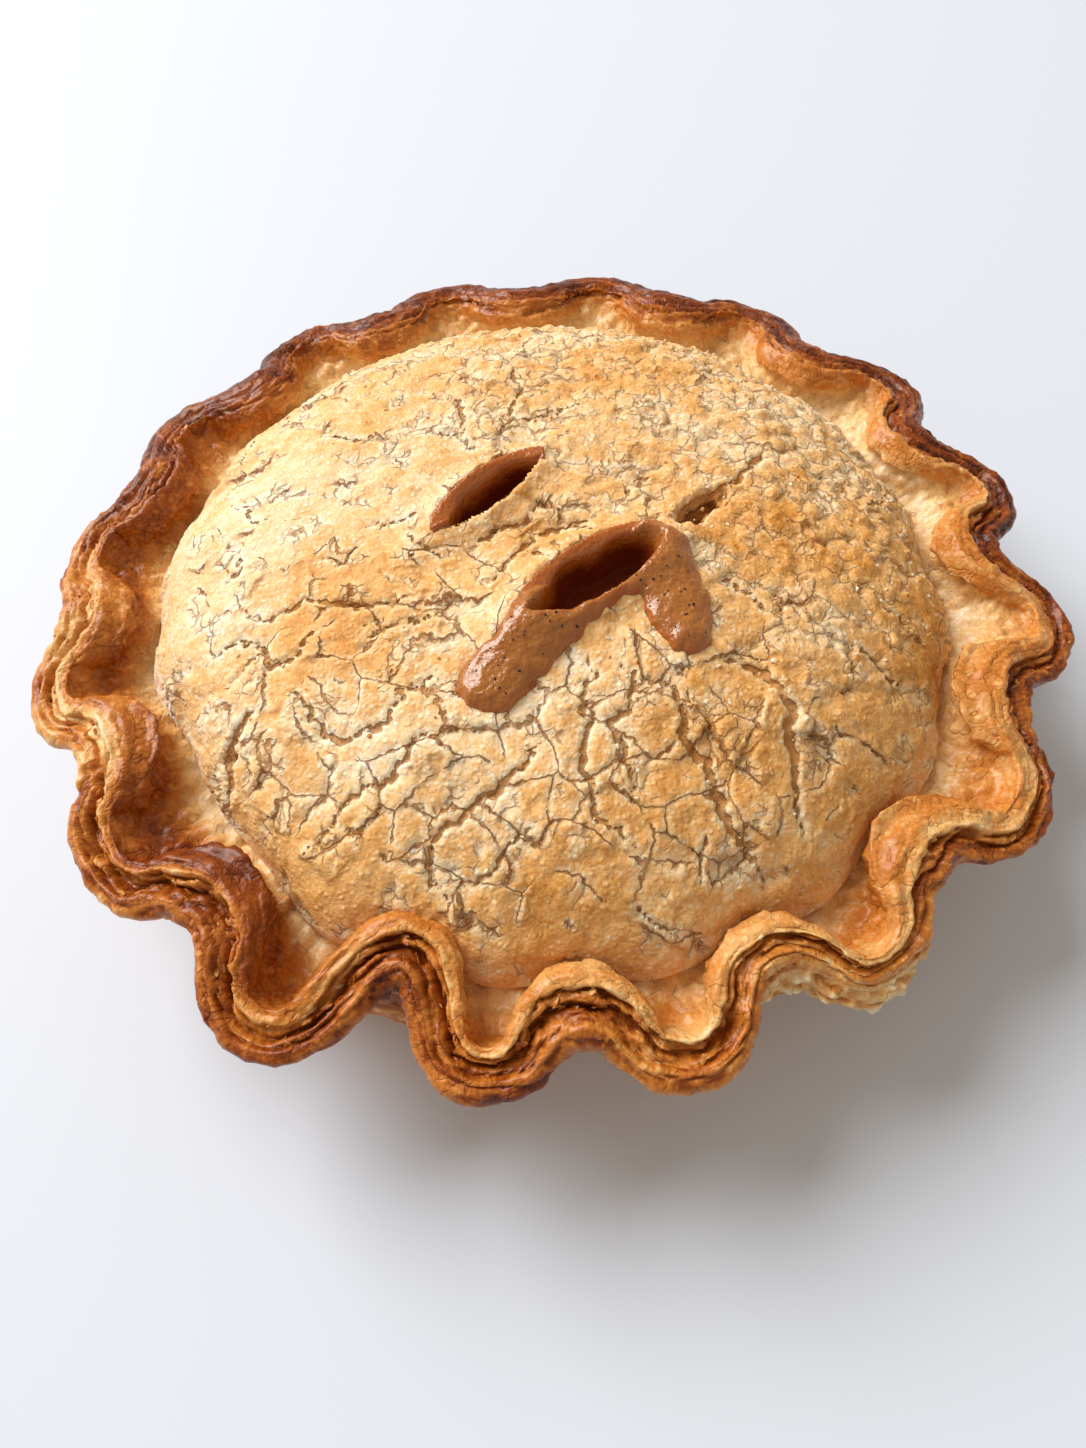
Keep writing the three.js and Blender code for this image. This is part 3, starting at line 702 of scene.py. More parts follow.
# A square grid of points laid out over the round lid, evenly along its curve from the middle to the foot
side = np.linspace(-1, 1, LID_CELLS + 1)
across_x, across_y = np.meshgrid(side, side)
wide = np.abs(across_x) > np.abs(across_y)
long_side = np.where(wide, across_x, across_y)
short_side = np.where(wide, across_y, across_x)
swing = math.pi / 4 * short_side / np.where(long_side == 0, 1, long_side)
turn = np.where(wide, swing, math.pi / 2 - swing)
lid_x, lid_y = long_side * np.cos(turn), long_side * np.sin(turn)
profile = 1 - np.linspace(1, 0, PROFILE_STEPS)**2
profile_steps = np.hypot(np.diff(profile) * CREASE_RADIUS, np.diff(pillow(profile)))
profile_length = np.concatenate([[0], np.cumsum(profile_steps)])
share = np.interp(np.hypot(lid_x, lid_y), profile_length / profile_length[-1], profile)
lid_bearing = np.degrees(np.arctan2(lid_x, -lid_y))
plan = in_plan(lid_bearing, share * lid_radius(lid_bearing, share))
level = lid_height(plan[..., 0], plan[..., 1], share)
lid_points = np.concatenate([plan, level[..., None]], -1).reshape(-1, 3)


def grid_faces(lines, columns):
    """Faces of a grid of points, line by line, that look up."""
    row, column = np.meshgrid(np.arange(lines - 1), np.arange(columns - 1), indexing="ij")
    corner = row * columns + column
    return np.stack([corner, corner + 1, corner + columns + 1, corner + columns], -1).reshape(-1, 4)


# A skirt goes from the lid's edge down into the rim, and a flat underside closes it
SKIRT_INSET = 0.985
count = LID_CELLS + 1
lid_faces = grid_faces(count, count).tolist()
step = np.arange(LID_CELLS)
edge_ring = np.concatenate([step, step * count + LID_CELLS, count * count - 1 - step,
                            (LID_CELLS - step) * count])
skirt = lid_points[edge_ring] * (SKIRT_INSET, SKIRT_INSET, 0) + (0, 0, LIP_Z)
first = len(lid_points)
ring = np.arange(len(edge_ring))
after = (ring + 1) % len(ring)
lid_faces += np.stack([edge_ring[ring], first + ring, first + after, edge_ring[after]], -1).tolist()
lid_faces.append((first + ring[::-1]).tolist())
lid_points = np.concatenate([lid_points, skirt])

# The main cracks, each with its width and the points that it runs through: torn, wide and fine ones
CRACKS = [
    (6.5, [(27, -3.5), (29.5, -1), (32, 2.5), (35.5, 5), (39, 8.5)]),
    (1.4, [(39, 8.5), (43, 13), (46.5, 17.5), (49.5, 22.5)]),
    (1.7, [(33.5, -35), (36.5, -36), (43, -38), (47, -45), (46, -51.5), (47, -54.5), (46.5, -61),
           (47.5, -67)]),
    (1.7, [(19.5, -40.5), (23.5, -42), (25.5, -48), (24.5, -52.5), (29.5, -56.5), (30.5, -61),
           (33.5, -68), (41.5, -77)]),
    (1.1, [(7, -36), (8, -40), (6, -44), (6, -51.5), (5, -58.5), (7, -61.5), (7, -66.5), (12, -70),
           (16.5, -73)]),
    (1.0, [(12, -35.5), (15.5, -40.5), (14.5, -47), (10.5, -49.5), (13.5, -53.5), (14.5, -59.5),
           (14.5, -64.5)]),
    (0.7, [(14, -80.5), (17, -83.5), (23, -84.5)]),
    (0.7, [(27.5, -67), (27.5, -73), (26.5, -78.5)]),
    (0.8, [(34, -16), (41, -20.5), (46, -24.5)]),
    (0.7, [(68.5, -16.5), (75, -19), (80, -23.5)]),
    (0.8, [(60.5, -28.5), (67, -32), (69, -34.5), (74, -33)]),
    (0.7, [(14.5, -58.5), (19.5, -56.5), (22.5, -53.5), (23.5, -51.5)]),
    (2.8, [(-67.5, -57), (-66, -53), (-66.5, -49), (-65, -44.5), (-60, -41.5)]),
    (0.8, [(-65, -19), (-59, -22), (-55, -20.5), (-50, -19), (-46, -21), (-35.5, -22.5), (-27.5, -20.5)]),
    (0.8, [(-71, -27), (-64, -26), (-59, -27.5), (-57, -33), (-52, -33), (-50, -29), (-44, -24.5)]),
    (0.7, [(-37.5, -25.5), (-36.5, -29), (-32.5, -27), (-27.5, -27), (-21.5, -26.5)]),
    (1.0, [(-52, -39), (-48, -43), (-44.5, -48.5), (-41.5, -51), (-35.5, -49), (-31.5, -48), (-29.5, -43),
           (-23, -38)]),
    (1.0, [(-48.5, -69.5), (-43.5, -66.5), (-39.5, -61.5), (-35.5, -60), (-30.5, -59.5), (-26.5, -52),
           (-21.5, -51)]),
    (1.2, [(-20, -79.5), (-24, -76), (-22, -69), (-18, -67), (-12, -62.5), (-6, -58.5), (-2, -52.5)]),
    (0.7, [(-19, -78.5), (-11, -76), (-8, -71), (-2, -67.5)]),
    (0.7, [(-67.5, -3), (-66.5, -8), (-71.5, -10)]),
    (0.7, [(-48, -9), (-43, -11), (-40, -6)]),
    (0.7, [(-30.5, -5), (-26.5, -9.5), (-21.5, -12)]),
    (0.8, [(-53.5, 29), (-47.5, 28), (-44, 26), (-39, 26), (-34.5, 25.5), (-31.5, 24.5)]),
    (0.7, [(-26.5, 26.5), (-20.5, 25), (-17.5, 20), (-13, 20)]),
    (0.9, [(-24.5, 40.5), (-20.5, 36), (-19.5, 31), (-18.5, 25)]),
    (1.0, [(-8, 52), (-8, 44.5), (-6, 40), (-7, 36.5), (-9, 31), (-8, 25)]),
    (0.7, [(-39.5, -2), (-36.5, -1), (-30.5, 0), (-27.5, 2)]),
    (0.7, [(-73.5, 14.5), (-68.5, 11.5), (-66.5, 6.5), (-62.5, 2.5)]),
    (0.7, [(56.5, 20), (59.5, 16.5), (65.5, 18.5)]),
    (0.8, [(69.5, 10), (75, 13), (79, 17.5), (81.5, 21)]),
    (0.7, [(0, 29.5), (5, 34), (9.5, 35.5)]),
    (1.1, [(-13, -18), (-9.5, -14), (-5.5, -9.5), (-1, -6), (5, -3), (11, -1.5)]),
    (0.8, [(-5, -10), (-2, -12.5), (1, -14.5)]),
    (0.8, [(-16, -9), (-11, -5), (-6, -2), (-2, 2)]),
    (0.7, [(5, -3), (7, -5.5), (8.5, -6.5)]),
]
CRACK_STEP = 0.5
CRACK_JITTER = 0.45
CRACK_END_WIDTH = 0.25
CRACK_TAPER = 0.25
CRACK_WIDTHS = (0.3, 1.5)
draw = np.random.default_rng(7)
crack_points, crack_reach = [], []
for width, route in CRACKS:
    route = np.array(route, float)
    length = np.concatenate([[0], np.cumsum(np.hypot(*np.diff(route, axis=0).T))])
    stations = np.linspace(0, length[-1], max(4, int(length[-1] / CRACK_STEP)))
    jitter = draw.normal(0, CRACK_JITTER, (2, len(stations)))
    x, y = [np.interp(stations, length, line) + np.convolve(shake, np.ones(3) / 2, "same")
            for line, shake in zip(route.T, jitter)]
    taper = np.minimum(1, np.minimum(stations, length[-1] - stations) / (CRACK_TAPER * length[-1]))
    ragged_width = np.convolve(draw.uniform(*CRACK_WIDTHS, len(stations)), np.ones(5) / 5, "same")
    crack_points.append(np.stack([x, y, lid_height(x, y)], -1))
    crack_reach.append(width / 2 * lerp(CRACK_END_WIDTH, 1, taper) * ragged_width)
cracks = crust_object("crack_lines", np.concatenate(crack_points), [], reach=np.concatenate(crack_reach))

# Where the lid is browner or paler than most of it: place, reach and how much. The paler patch on the left
# is also painted light where the lid faces the lamp, and the browner ones on the right are also painted
# shade.
LID_TOAST = 0.41
LID_FOOT_TOAST = -0.14
LID_TONE_AND_SHADE_PATCHES = [
    (32, -52, 28, 0.1), (-45, -25, 20, 0.16), (-34, -50, 10, -0.16), (44, -4, 15, 0.12), (-3, -7, 9, 0.26),
    (20, 45, 28, 0.14), (-66, -4, 28, -0.15), (76, -14, 28, 0.24), (0, -84, 24, 0.12), (50, -62, 22, 0.06),
    (-50, -70, 18, 0.16), (60, 14, 30, 0.02),
]
# Where the lid has come apart into plates more or less than most of it. Towards the back right it is flaky
# instead.
PLATED = 0.56
PLATED_LOSS_WHERE_FLAKY = 0.26
PLATED_LOSS_AT_FOOT = 0.2
PLATED_PATCHES = [
    (5, -58, 34, 0.12), (-30, -45, 22, 0.1), (-55, 5, 34, -0.12), (68, -6, 30, -0.16), (0, -95, 18, -0.2),
    (50, 40, 26, -0.08),
]
FLAKY_WAY = (0.55, 0.85)
FLAKY_RANGE = (-30, 55)
FLAKED = (0.42, 0.6)


def patched(patches):
    """What round patches with soft edges add up to at each of the lid's points."""
    return sum(amount * np.exp(-((x - px)**2 + (y - py)**2) / reach**2) for px, py, reach, amount in patches)


x, y = lid_points[:, 0], lid_points[:, 1]
top_share = np.concatenate([share.ravel(), np.ones(len(ring))])
flaky = smooth(*FLAKY_RANGE, FLAKY_WAY[0] * x + FLAKY_WAY[1] * y)
plated = PLATED - PLATED_LOSS_WHERE_FLAKY * flaky + patched(PLATED_PATCHES)
plated -= PLATED_LOSS_AT_FOOT * smooth(0.88, 0.98, top_share)
lid = crust_object(
    "pastry_lid", lid_points, lid_faces, share=top_share, flaky=flaky, plated=plated,
    flaked=lerp(*FLAKED, flaky), vent=np.minimum(*[vent_place(vent, x, y) for vent in VENTS.values()]),
    toast=LID_TOAST + LID_FOOT_TOAST * smooth(0.97, 1, top_share) + patched(LID_TONE_AND_SHADE_PATCHES),
    ahead=np.tile((1, 0, 0), (len(x), 1)))

NET_BEND = 1.8
NET_BEND_SIZE = 1 / 0.6
NET_RAGGED_SIZE = 1.6
NET_RAGGED_REACH = 2.1
NET_PATCH_SIZE = 8
NET_PATCHINESS = 1.3
NET_OPENING = (0.4, 0.62)
PLATE_NET = (12, "plated", (3.1, 7.7, 1.3))
FLAKE_NET = (4.6, "flaked", (11.3, 2.9, 5.1))


def crack_net(tree, size, wanted, shift):
    """A net of ragged lines round cells of one size: the distance to the nearest line in millimetres, a
    random value for the cell, how far its own tilt lifts the place, and how open the net is there. A field
    of the lid says how much of the net is open."""
    place = held(tree, "rest", vector=True)
    spot = place
    for scale, reach, detail in ((NET_BEND_SIZE * size, NET_BEND * size, 1),
                                 (NET_RAGGED_SIZE, NET_RAGGED_REACH, 3)):
        bend = add(tree, "ShaderNodeTexNoise", {"Vector": place, "Scale": 1 / scale, "Detail": detail},
                   out="Color")
        bend = reckon_vector(tree, "SUBTRACT", bend, (0.5,) * 3)
        spot = reckon_vector(tree, "MULTIPLY_ADD", bend, (reach,) * 3, spot)
    spot = reckon_vector(tree, "MULTIPLY_ADD", spot, (1 / size,) * 3, shift)
    edge = cells(tree, spot, 1, feature="DISTANCE_TO_EDGE")
    cell = cells(tree, spot, 1, feature="F1", out="Color")
    lean = reckon_vector(tree, "SUBTRACT", cell, (0.5,) * 3)
    off = reckon_vector(tree, "SUBTRACT", spot, cell.node.outputs["Position"])
    tilt = reckon_vector(tree, "DOT_PRODUCT", lean, off, out="Value")
    opened = total(tree, held(tree, wanted), (uneven(tree, place, NET_PATCH_SIZE), NET_PATCHINESS))
    return (product(tree, edge, size), add(tree, "ShaderNodeSeparateXYZ", {0: cell}), tilt,
            between(tree, opened, *NET_OPENING))


# Baked shortcrust on the lid: matt and short, cream to gold. Its plates are browner than the creases between
# them, and the cracks are thin brown lines that also paint the shade in cracks too fine to shade themselves.
# A wide crack is a duller brown inside, partly its own colour and partly painted warm shade, and darkest
# deep in it, where the shade of the tear is painted.
LID_RAMP = [(0, "#fdf5e8"), (0.25, "#f8e0ba"), (0.5, "#eebb7a"), (0.75, "#d79444"), (1, "#9a5416")]
CRACK_BROWN_AND_SHADE = "#803000"
CRACK_INSIDE_AND_SHADE = "#be7e38"
CRACK_DEEP_SHADE = "#562404"
CRACK_INSIDE_SHARE = 0.6
PLATE_CRACK = 0.2
PLATE_LINE = 0.68
FLAKE_CRACK = 0.18
FLAKE_GAP = 0.6
FLAKE_LINE = 0.22
TORN_GAP = 1.3
TORN_LINE = 0.9
LINE_WIDTH = 0.22
CREASE_WIDTH = 2.0
BREAK_SIZE = 4
BROAD_SIZE = 24
LID_MOTTLE_SIZE = 5
LID_GRAIN_SIZE = 0.8
LID_BLISTER_SIZE = 1.7
# Blisters are paler specks, partly their own colour and partly painted highlight on their small bumps.
LID_TONES = dict(broad=0.6, mottle=0.3, grain=0.5, flake_tint=0.12, shoulder=-0.2, blister=-0.16)
LID_BUMPS = dict(plate_step=0.8, flake_step=0.4, plate_lean=1.1, flake_lean=0.4, gap=-0.7, mottle=0.3,
                 grain=0.3, blister=0.16)
LID_SPECULAR = 0.2
GAP_SPECULAR = 0.02
shortcrust, tree, shader = new_material("baked_shortcrust_lid")
rest = held(tree, "rest", vector=True)
plate_edge, plate_tint, plate_tilt, plate_open = crack_net(tree, *PLATE_NET)
flake_edge, flake_tint, flake_tilt, flake_open = crack_net(tree, *FLAKE_NET)
ragged = uneven(tree, rest, NET_RAGGED_SIZE, detail=4, roughness=0.6)
ragged_line = total(tree, held(tree, "off_crack"), (ragged, 1))
broken = between(tree, uneven(tree, rest, BREAK_SIZE, detail=3), -0.14, 0.08, low=0.18, high=1)
kinds = ((plate_edge, product(tree, plate_open, PLATE_CRACK), 1, PLATE_LINE),
         (flake_edge, product(tree, flake_open, FLAKE_CRACK), FLAKE_GAP, FLAKE_LINE),
         (ragged_line, held(tree, "reach"), TORN_GAP, TORN_LINE))
gap, line, shoulder = 0, 0, 0
for edge, half_width, depth, tone in kinds:
    inside = total(tree, edge, (half_width, -1))
    shallow = between(tree, half_width, 0.02, 0.2)
    gap, line, shoulder = [reckon(tree, "MAXIMUM", most, own) for most, own in (
        (gap, product(tree, fading(tree, inside, -0.12, 0.18), shallow, depth)),
        (line, product(tree, fading(tree, edge, 0.0, LINE_WIDTH), shallow, broken, tone)),
        (shoulder, product(tree, fading(tree, inside, 0.1, CREASE_WIDTH), shallow)))]
deep_shade = between(tree, inside, -0.5, -1.5, low=0, high=0.9)
layers = dict(
    broad=uneven(tree, rest, BROAD_SIZE, detail=4, roughness=0.6),
    mottle=uneven(tree, rest, LID_MOTTLE_SIZE, detail=4, roughness=0.65),
    grain=uneven(tree, rest, LID_GRAIN_SIZE),
    blister=fading(tree, cells(tree, rest, LID_BLISTER_SIZE), 0.1, 0.4),
    flake_tint=flake_tint, shoulder=shoulder, gap=gap,
    plate_step=product(tree, plate_tint, plate_open), plate_lean=product(tree, plate_tilt, plate_open),
    flake_step=product(tree, flake_tint, flake_open), flake_lean=product(tree, flake_tilt, flake_open))
browned = layered_up(tree, held(tree, "toast"), LID_TONES, layers)
colour = add(tree, "ShaderNodeValToRGB", {0: browned}, stops=LID_RAMP)
# Painted shade in the cracks: the brown lines, the warmer brown of the crack walls and the darkest brown
# deep in the wide main cracks.
for share_of, tint in ((product(tree, gap, CRACK_INSIDE_SHARE), CRACK_INSIDE_AND_SHADE), (line, CRACK_BROWN_AND_SHADE),
                       (deep_shade, CRACK_DEEP_SHADE)):
    colour = add(tree, "ShaderNodeMix", {"Factor": share_of, "A": colour, "B": hex_colour(tint)},
                 data_type="RGBA", out=2)
feed(tree, shader, {
    "Base Color": colour,
    "Normal": add(tree, "ShaderNodeBump", {
        "Height": layered_up(tree, 0, LID_BUMPS, layers), "Distance": MM}, out="Normal"),
    "Specular IOR Level": between(tree, total(tree, line, (gap, 1)), 0.0, 0.5, low=LID_SPECULAR,
                                  high=GAP_SPECULAR),
    "Roughness": 0.55, "IOR": 1.45, "Subsurface Weight": 0.25,
    "Subsurface Radius": (2.0 * MM, 1.1 * MM, 0.5 * MM), "Subsurface Scale": 1})

# The lid's relief: plates that tilt and stand at different heights, pebbly flakes, creases, cracks and slits
PLATE_ROUND = 0.9
FLAKE_ROUND = 1.3
PEBBLE_SIZE = 3.4
LID_WAVE_SIZE = 6
SLIT_RAGGED = 0.25
tree, given, result = new_tree(
    "lid_relief", PlateStep=0.8, PlateTilt=1.8, PlateDepth=0.3, FlakeStep=0.7, FlakeTilt=1.2, FlakeDepth=0.4,
    PebbleHeight=0.7, WaveHeight=1.8, TornDepth=1.0, SlitDepth=9)
rest = held(tree, "rest", vector=True)
flaky_share, vent_share, foot_share = [held(tree, name) for name in ("flaky", "vent", "share")]
plate_edge, plate_tint, plate_tilt, plate_open = crack_net(tree, *PLATE_NET)
flake_edge, flake_tint, flake_tilt, flake_open = crack_net(tree, *FLAKE_NET)
plate_gap, flake_gap = [
    product(tree, fading(tree, total(tree, edge, (opened, -width)), 0, rounding), opened)
    for edge, opened, width, rounding in ((plate_edge, plate_open, PLATE_CRACK, PLATE_ROUND),
                                          (flake_edge, flake_open, FLAKE_CRACK, FLAKE_ROUND))]

# The nearest point of the main cracks gives their distance and half width
lines = add(tree, "GeometryNodeObjectInfo", {"Object": cracks}, out="Geometry")
nearest = add(tree, "GeometryNodeSampleNearest", {"Geometry": lines}, domain="POINT")
position = add(tree, "GeometryNodeInputPosition")
reach, near_point = [
    add(tree, "GeometryNodeSampleIndex", {"Geometry": lines, "Index": nearest, "Value": value},
        data_type=kind, domain="POINT")
    for value, kind in ((held(tree, "reach"), "FLOAT"), (position, "FLOAT_VECTOR"))]
off_line = product(tree, reckon_vector(tree, "DISTANCE", position, near_point, out="Value"), 1 / MM)
ragged = uneven(tree, rest, NET_RAGGED_SIZE, detail=4, roughness=0.6)
off_edge = total(tree, off_line, (ragged, 1), (reach, -1))
torn = product(tree, fading(tree, off_edge, -0.3, 0.5), total(tree, 0.5, (reach, 0.9)))
pebble = add(tree, "ShaderNodeTexVoronoi", {"Vector": rest, "Scale": 1 / PEBBLE_SIZE, "Smoothness": 0.6},
             feature="SMOOTH_F1")
pebble = product(tree, between(tree, pebble, 0.1, 0.75, low=0.5, high=-0.5),
                 total(tree, 0.3, (flaky_share, 0.7)))
plate_stand, flake_stand = [reckon(tree, "SUBTRACT", tint, 0.5) for tint in (plate_tint, flake_tint)]
slit = fading(tree, total(tree, vent_share, (ragged, SLIT_RAGGED)), 0.88, 0.99)
height = relief(
    tree, given, TornDepth=product(tree, torn, -1), PlateDepth=product(tree, plate_gap, -1),
    FlakeDepth=product(tree, flake_gap, -1), PlateStep=plate_stand,
    PlateTilt=product(tree, plate_tilt, plate_open), FlakeStep=product(tree, flake_stand, flaky_share),
    FlakeTilt=product(tree, flake_tilt, flake_open), PebbleHeight=pebble,
    WaveHeight=uneven(tree, rest, LID_WAVE_SIZE, detail=5, roughness=0.6), SlitDepth=product(tree, slit, -1))
height = product(tree, height, fading(tree, foot_share, 0.996, 1))
near_crack = fading(tree, off_edge, 0.3, 3.5)
strewn = total(tree, product(tree, flaky_share, flaky_share, 0.4), (near_crack, 0.6))
strewn = product(tree, strewn, between(tree, vent_share, 1.0, 1.2), between(tree, foot_share, 0.97, 0.9))
kept = keep_fields(tree, given["Geometry"], off_crack=off_line, reach=reach, strewn=strewn)
settle(tree, result, kept, height, shortcrust)
finish_piece(lid, tree, "pastry_crust", "pastry")
bpy.data.objects.remove(cracks)

# Crumbs on the lid
# Small pale crumbs and blisters of the lid's own pastry, along the cracks and over the flaky part at the
# back right.
CRUMB_SHAPE = dict(Density=0.07, Length=0.6, Width=0.5, Thickness=0.3)
CRUMB_TOAST = (-0.1, 0.4)
ANY_LEAN = 1.5
strew("lid_crumbs", lid, "strewn", "pastry_crust", "pastry", egg_washed, 11, CRUMB_TOAST, CRUMB_SHAPE,
      ANY_LEAN)

# Gravy
# Thick goose gravy that boiled up through the slits: it lines each slit, stands in it as a dark pool and ran
# out over the lid in short tongues that set there with round edges.
GRAVY_LEVEL = 6
GRAVY_THICKNESS = 2.6
GRAVY_ROUND = 5.0
GRAVY_CELL = 0.4
GRAVY_MARGIN = 4
GRAVY_UNDER = 3
GRAVY_BLEND = 1.6
GRAVY_WOBBLE = 0.35
GRAVY_SUNK = 0.2
GRAVY_LINING = 0.15
POOL_SHRINK = 0.64
POOL_SHIFT = 2.7
POOL_WOBBLE = 0.07
# The paths that the gravy ran along, as places with the half width of the flow there
GRAVY_FLOWS = {
    "gravy_front_vent": [
        [(-2.3, -31, 4.2), (-5.5, -35, 4.8), (-12, -41.5, 6.4)],
        [(24.8, -10, 2.4), (24.2, -17.5, 4.8), (25.2, -25, 5.6), (26.8, -30.5, 4.8)],
        [(-2, -31.5, 2.6), (3, -30.5, 1.6), (8, -26.4, 1.2), (13.5, -21.6, 1.0), (20, -17.5, 1.8)],
        [(-5, -29, 2.4), (-4.5, -25, 1.0), (20, -6, 0.6), (24.8, -10, 1.8)],
    ],
    "gravy_back_vent": [[(-24, -5.5, 0.6), (-16, 0.5, 0.8), (-7, 8, 0.9), (-2, 14, 0.6)]],
}

# Brown gravy: glossy and cloudy, caramel where it lies thin over the pastry and nearly black-red where it is
# deep
GRAVY_RAMP = [(0, "#ac6a28"), (0.25, "#985414"), (0.38, "#84400f"), (0.56, "#68240a"), (1, "#6a2a12")]
GRAVY_THIN = "#ac5a14"
GRAVY_THIN_SHARE = 0.8
CLOUD_SIZE = 5
CLOUD_TONE = 0.8
SPECK_SIZE = 0.7
SPECK_TONE = 0.3
SKIN_SIZE = 0.9
SKIN_BUMP = 0.36
SKIN_WAVE_SIZE = 2.4
SKIN_WAVE_BUMP = 0.4
GRAVY_ROUGHNESS = (0.28, 0.6)
GRAVY_SHEEN = (0.6, 0.06)
gravy, tree, shader = new_material("brown_gravy")
rest = held(tree, "rest", vector=True)
depth = held(tree, "depth")
shade = total(tree, depth, (uneven(tree, rest, CLOUD_SIZE, detail=5, roughness=0.6), CLOUD_TONE),
              (uneven(tree, rest, SPECK_SIZE), SPECK_TONE))
thin = between(tree, held(tree, "crown"), 0.2, 0.75, low=GRAVY_THIN_SHARE, high=0)
skin = total(tree, 0, (uneven(tree, rest, SKIN_SIZE, detail=1), SKIN_BUMP),
             (uneven(tree, rest, SKIN_WAVE_SIZE), SKIN_WAVE_BUMP))
sheen = between(tree, depth, 0.25, 0.6, low=GRAVY_SHEEN[0], high=GRAVY_SHEEN[1])
feed(tree, shader, {
    "Base Color": add(tree, "ShaderNodeMix", {
        "Factor": thin, "A": add(tree, "ShaderNodeValToRGB", {0: shade}, stops=GRAVY_RAMP),
        "B": hex_colour(GRAVY_THIN)}, data_type="RGBA", out=2),
    "Normal": add(tree, "ShaderNodeBump", {"Height": skin, "Distance": MM}, out="Normal"),
    "Roughness": add(tree, "ShaderNodeMapRange", {
        0: depth, 1: 0.4, 2: 0.9, 3: GRAVY_ROUGHNESS[0], 4: GRAVY_ROUGHNESS[1]}),
    "Specular IOR Level": sheen, "Coat Weight": sheen, "Coat Roughness": 0.05, "IOR": 1.42,
    "Subsurface Weight": 0.4, "Subsurface Radius": (3.0 * MM, 1.1 * MM, 0.3 * MM), "Subsurface Scale": 1})

# The gravy's relief: a wrinkled skin and lumps
RIPPLE_SIZE = 2.4
CLOT_SIZE = 6
tree, given, result = new_tree("gravy_relief", RippleHeight=0.4, ClotHeight=1.4)
rest = held(tree, "rest", vector=True)
height = relief(tree, given, RippleHeight=uneven(tree, rest, RIPPLE_SIZE, detail=3),
                ClotHeight=uneven(tree, rest, CLOT_SIZE))
settle(tree, result, given["Geometry"], product(tree, height, held(tree, "free")), gravy)


def inside_flows(flows, x, y):
    """How far points lie inside the edge of the flows, which run into one another. Waves a few millimetres
    long make the edge uneven."""
    edge_sum = 0
    for flow in flows:
        for (x0, y0, r0), (x1, y1, r1) in zip(flow, flow[1:]):
            run_x, run_y = x1 - x0, y1 - y0
            part = np.clip(((x - x0) * run_x + (y - y0) * run_y) / (run_x**2 + run_y**2), 0, 1)
            off = np.hypot(x - x0 - part * run_x, y - y0 - part * run_y) - lerp(r0, r1, part)
            edge_sum = edge_sum + np.exp(-off / GRAVY_BLEND)
    waves = np.sin(0.9 * x + 0.5 * y) * np.sin(0.7 * y - 0.4 * x + 1) + np.sin(1.7 * x - y + 2) / 2
    return GRAVY_BLEND * np.log(edge_sum) + GRAVY_WOBBLE * waves


for name, flows in GRAVY_FLOWS.items():
    vent = VENTS[name]
    knots = np.concatenate(flows + [[(*vent["centre"], vent["length"] / 2)]])
    low = (knots[:, :2] - knots[:, 2:]).min(0) - GRAVY_MARGIN
    high = (knots[:, :2] + knots[:, 2:]).max(0) + GRAVY_MARGIN
    columns, lines = [int(count) for count in (high - low) / GRAVY_CELL]
    x, y = np.meshgrid(np.linspace(low[0], high[0], columns), np.linspace(low[1], high[1], lines))

    # The skin above the lid, and the pool that is set back in the slit
    inside = inside_flows(flows, x, y)
    crown = np.sqrt(1 - (1 - np.clip(inside / GRAVY_ROUND, 0, 1))**2)
    skin = np.where(inside > 0, GRAVY_THICKNESS * crown, np.maximum(inside, -1.2)) - GRAVY_SUNK
    vent_at = vent_place(vent, x, y)
    skin = np.where(vent_at < 1.04, np.maximum(skin, GRAVY_LINING), skin)
    axis = math.radians(vent["axis"])
    pool_centre = np.array(vent["centre"]) + POOL_SHIFT * np.array([math.sin(axis), -math.cos(axis)])
    pool_at = vent_place({**vent, "centre": pool_centre}, x, y)
    pool_at = pool_at + POOL_WOBBLE * (np.sin(0.45 * x + 0.2 * y) + np.sin(0.55 * y - 0.3 * x + 2))
    surface = lid_height(x, y)
    pool = float(lid_height(*np.array(vent["centre"], float))) - GRAVY_LEVEL
    bank = smooth(POOL_SHRINK, 1.0, np.maximum(pool_at, smooth(0.86, 1, vent_at)))
    level = lerp(pool, surface + skin, bank)
    depth = np.clip((surface - level) / GRAVY_LEVEL, 0, 1)

    # The sheet of gravy keeps the cells that show or lie just under the lid, and gets an underside and sides
    top_points = np.stack([x, y, level], -1).reshape(-1, 3)
    sheet_faces = grid_faces(lines, columns)
    shown = (np.maximum(skin, np.where(vent_at < 1.02, 0, -9)) > -1.3).ravel()
    sheet_faces = sheet_faces[shown[sheet_faces].all(1)]
    used = np.unique(sheet_faces)
    count = len(used)
    sheet_faces, top_points = np.searchsorted(used, sheet_faces), top_points[used]
    depth, crown = depth.ravel()[used], crown.ravel()[used]
    sides = np.concatenate([sheet_faces[:, [k, (k + 1) % 4]] for k in range(4)])
    side_set = {(int(a), int(b)) for a, b in sides}
    rim_sides = [[a, a + count, b + count, b] for a, b in sorted(side_set) if (b, a) not in side_set]
    faces = sheet_faces.tolist() + (sheet_faces[:, ::-1] + count).tolist() + rim_sides
    over = np.maximum(depth > 0.1, crown)
    piece = crust_object(
        name.replace("gravy", "thick_gravy"),
        np.concatenate([top_points, top_points - (0, 0, GRAVY_UNDER)]), faces,
        depth=np.tile(depth, 2), crown=np.tile(np.maximum(crown, smooth(0.05, 0.3, depth)), 2),
        free=np.concatenate([over, 0 * over]), peppered=np.concatenate([crown, 0 * crown]),
        ahead=np.tile((1, 0, 0), (2 * count, 1)))
    finish_piece(piece, tree, name, "gravy")

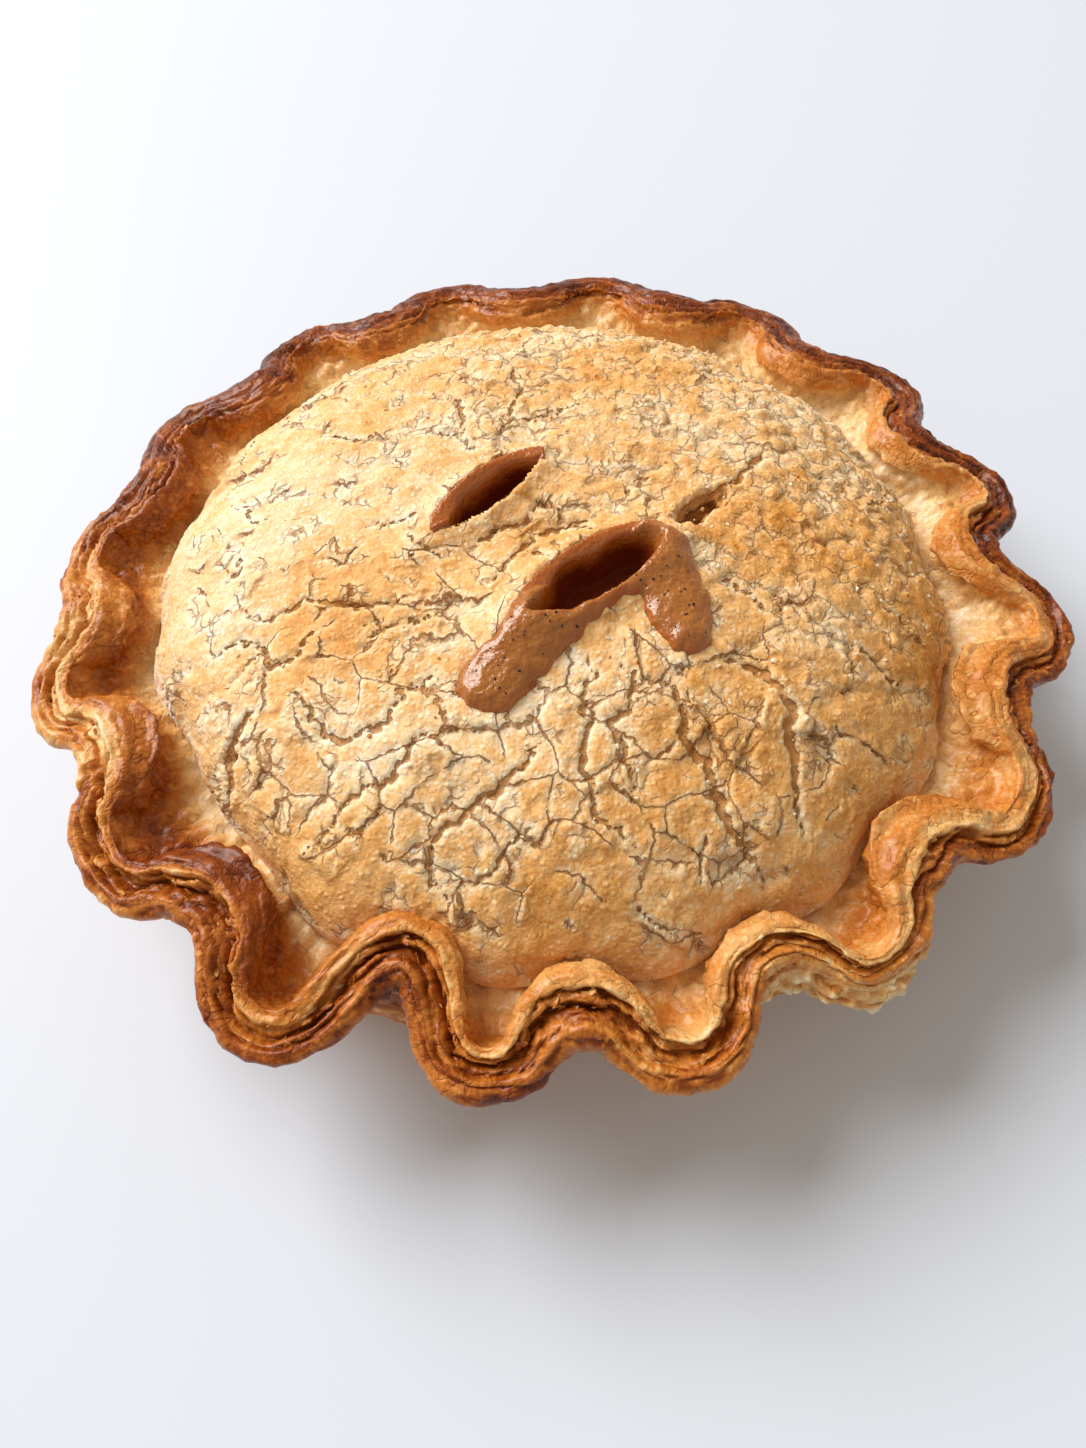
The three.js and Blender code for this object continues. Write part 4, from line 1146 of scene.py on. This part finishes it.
# Pepper in the gravy
# Specks of ground black pepper in the skin of the tongues, black-brown and half sunk.
PEPPER_SHAPE = dict(Density=0.07, Length=0.32, Width=0.26, Thickness=0.22)
pepper, tree, shader = new_material("ground_black_pepper")
feed(tree, shader, {"Base Color": hex_colour("#22140c"), "Roughness": 0.4})
strew("pepper_specks", bpy.data.objects["thick_gravy_front_vent"], "peppered", "gravy_front_vent", "gravy",
      pepper, 23, (0, 1), PEPPER_SHAPE, ANY_LEAN)

# Studio
# A plain pale table top, one large soft window light from the left and back, and the camera above the front
# edge.
FLOOR_REACH = 1.5
floor_mesh = bpy.data.meshes.new("table_top")
floor_mesh.from_pydata([(-FLOOR_REACH, -FLOOR_REACH, 0), (FLOOR_REACH, -FLOOR_REACH, 0),
                        (FLOOR_REACH, FLOOR_REACH, 0), (-FLOOR_REACH, FLOOR_REACH, 0)], [], [(0, 1, 2, 3)])
laminate, tree, shader = new_material("matt_white_laminate")
feed(tree, shader, {"Base Color": hex_colour("#d8e1f0"), "Roughness": 0.6})
floor_mesh.materials.append(laminate)
floor = in_scene("table_top", floor_mesh)

KEY_PLACE = (-2.36, 1.84, 2.72)
KEY_SIZE = 2.9
KEY_POWER = 208
KEY_COLOUR = (1, 0.98, 0.95)
AIR_COLOUR = "#f6e8d4"
AIR_STRENGTH = 0.48
key_data = bpy.data.lights.new("window_light", "AREA")
key_data.energy = KEY_POWER
key_data.shape = "DISK"
key_data.size = KEY_SIZE
key_data.color = KEY_COLOUR
key = in_scene("window_light", key_data)
key.location = KEY_PLACE
key.rotation_euler = Vector(KEY_PLACE).to_track_quat("Z", "Y").to_euler()
world = bpy.data.worlds.new("studio_air")
world.use_nodes = True
feed(world.node_tree, world.node_tree.nodes["Background"].inputs,
     {"Color": hex_colour(AIR_COLOUR), "Strength": AIR_STRENGTH})
bpy.context.scene.world = world
bpy.context.scene.view_settings.view_transform = "Standard"

CAMERA_PLACE = (-2.0, -147.0, 224.2)
CAMERA_PITCH = 59.1
CAMERA_ROLL = -0.73
CAMERA_LENS = 24.86
camera_data = bpy.data.cameras.new("camera")
camera_data.lens = CAMERA_LENS
camera_data.clip_start = 0.01
camera = in_scene("camera", camera_data)
camera.matrix_world = (Matrix.Translation([part * MM for part in CAMERA_PLACE])
                       @ Matrix.Rotation(math.radians(90 - CAMERA_PITCH), 4, "X")
                       @ Matrix.Rotation(math.radians(CAMERA_ROLL), 4, "Z"))
bpy.context.scene.camera = camera
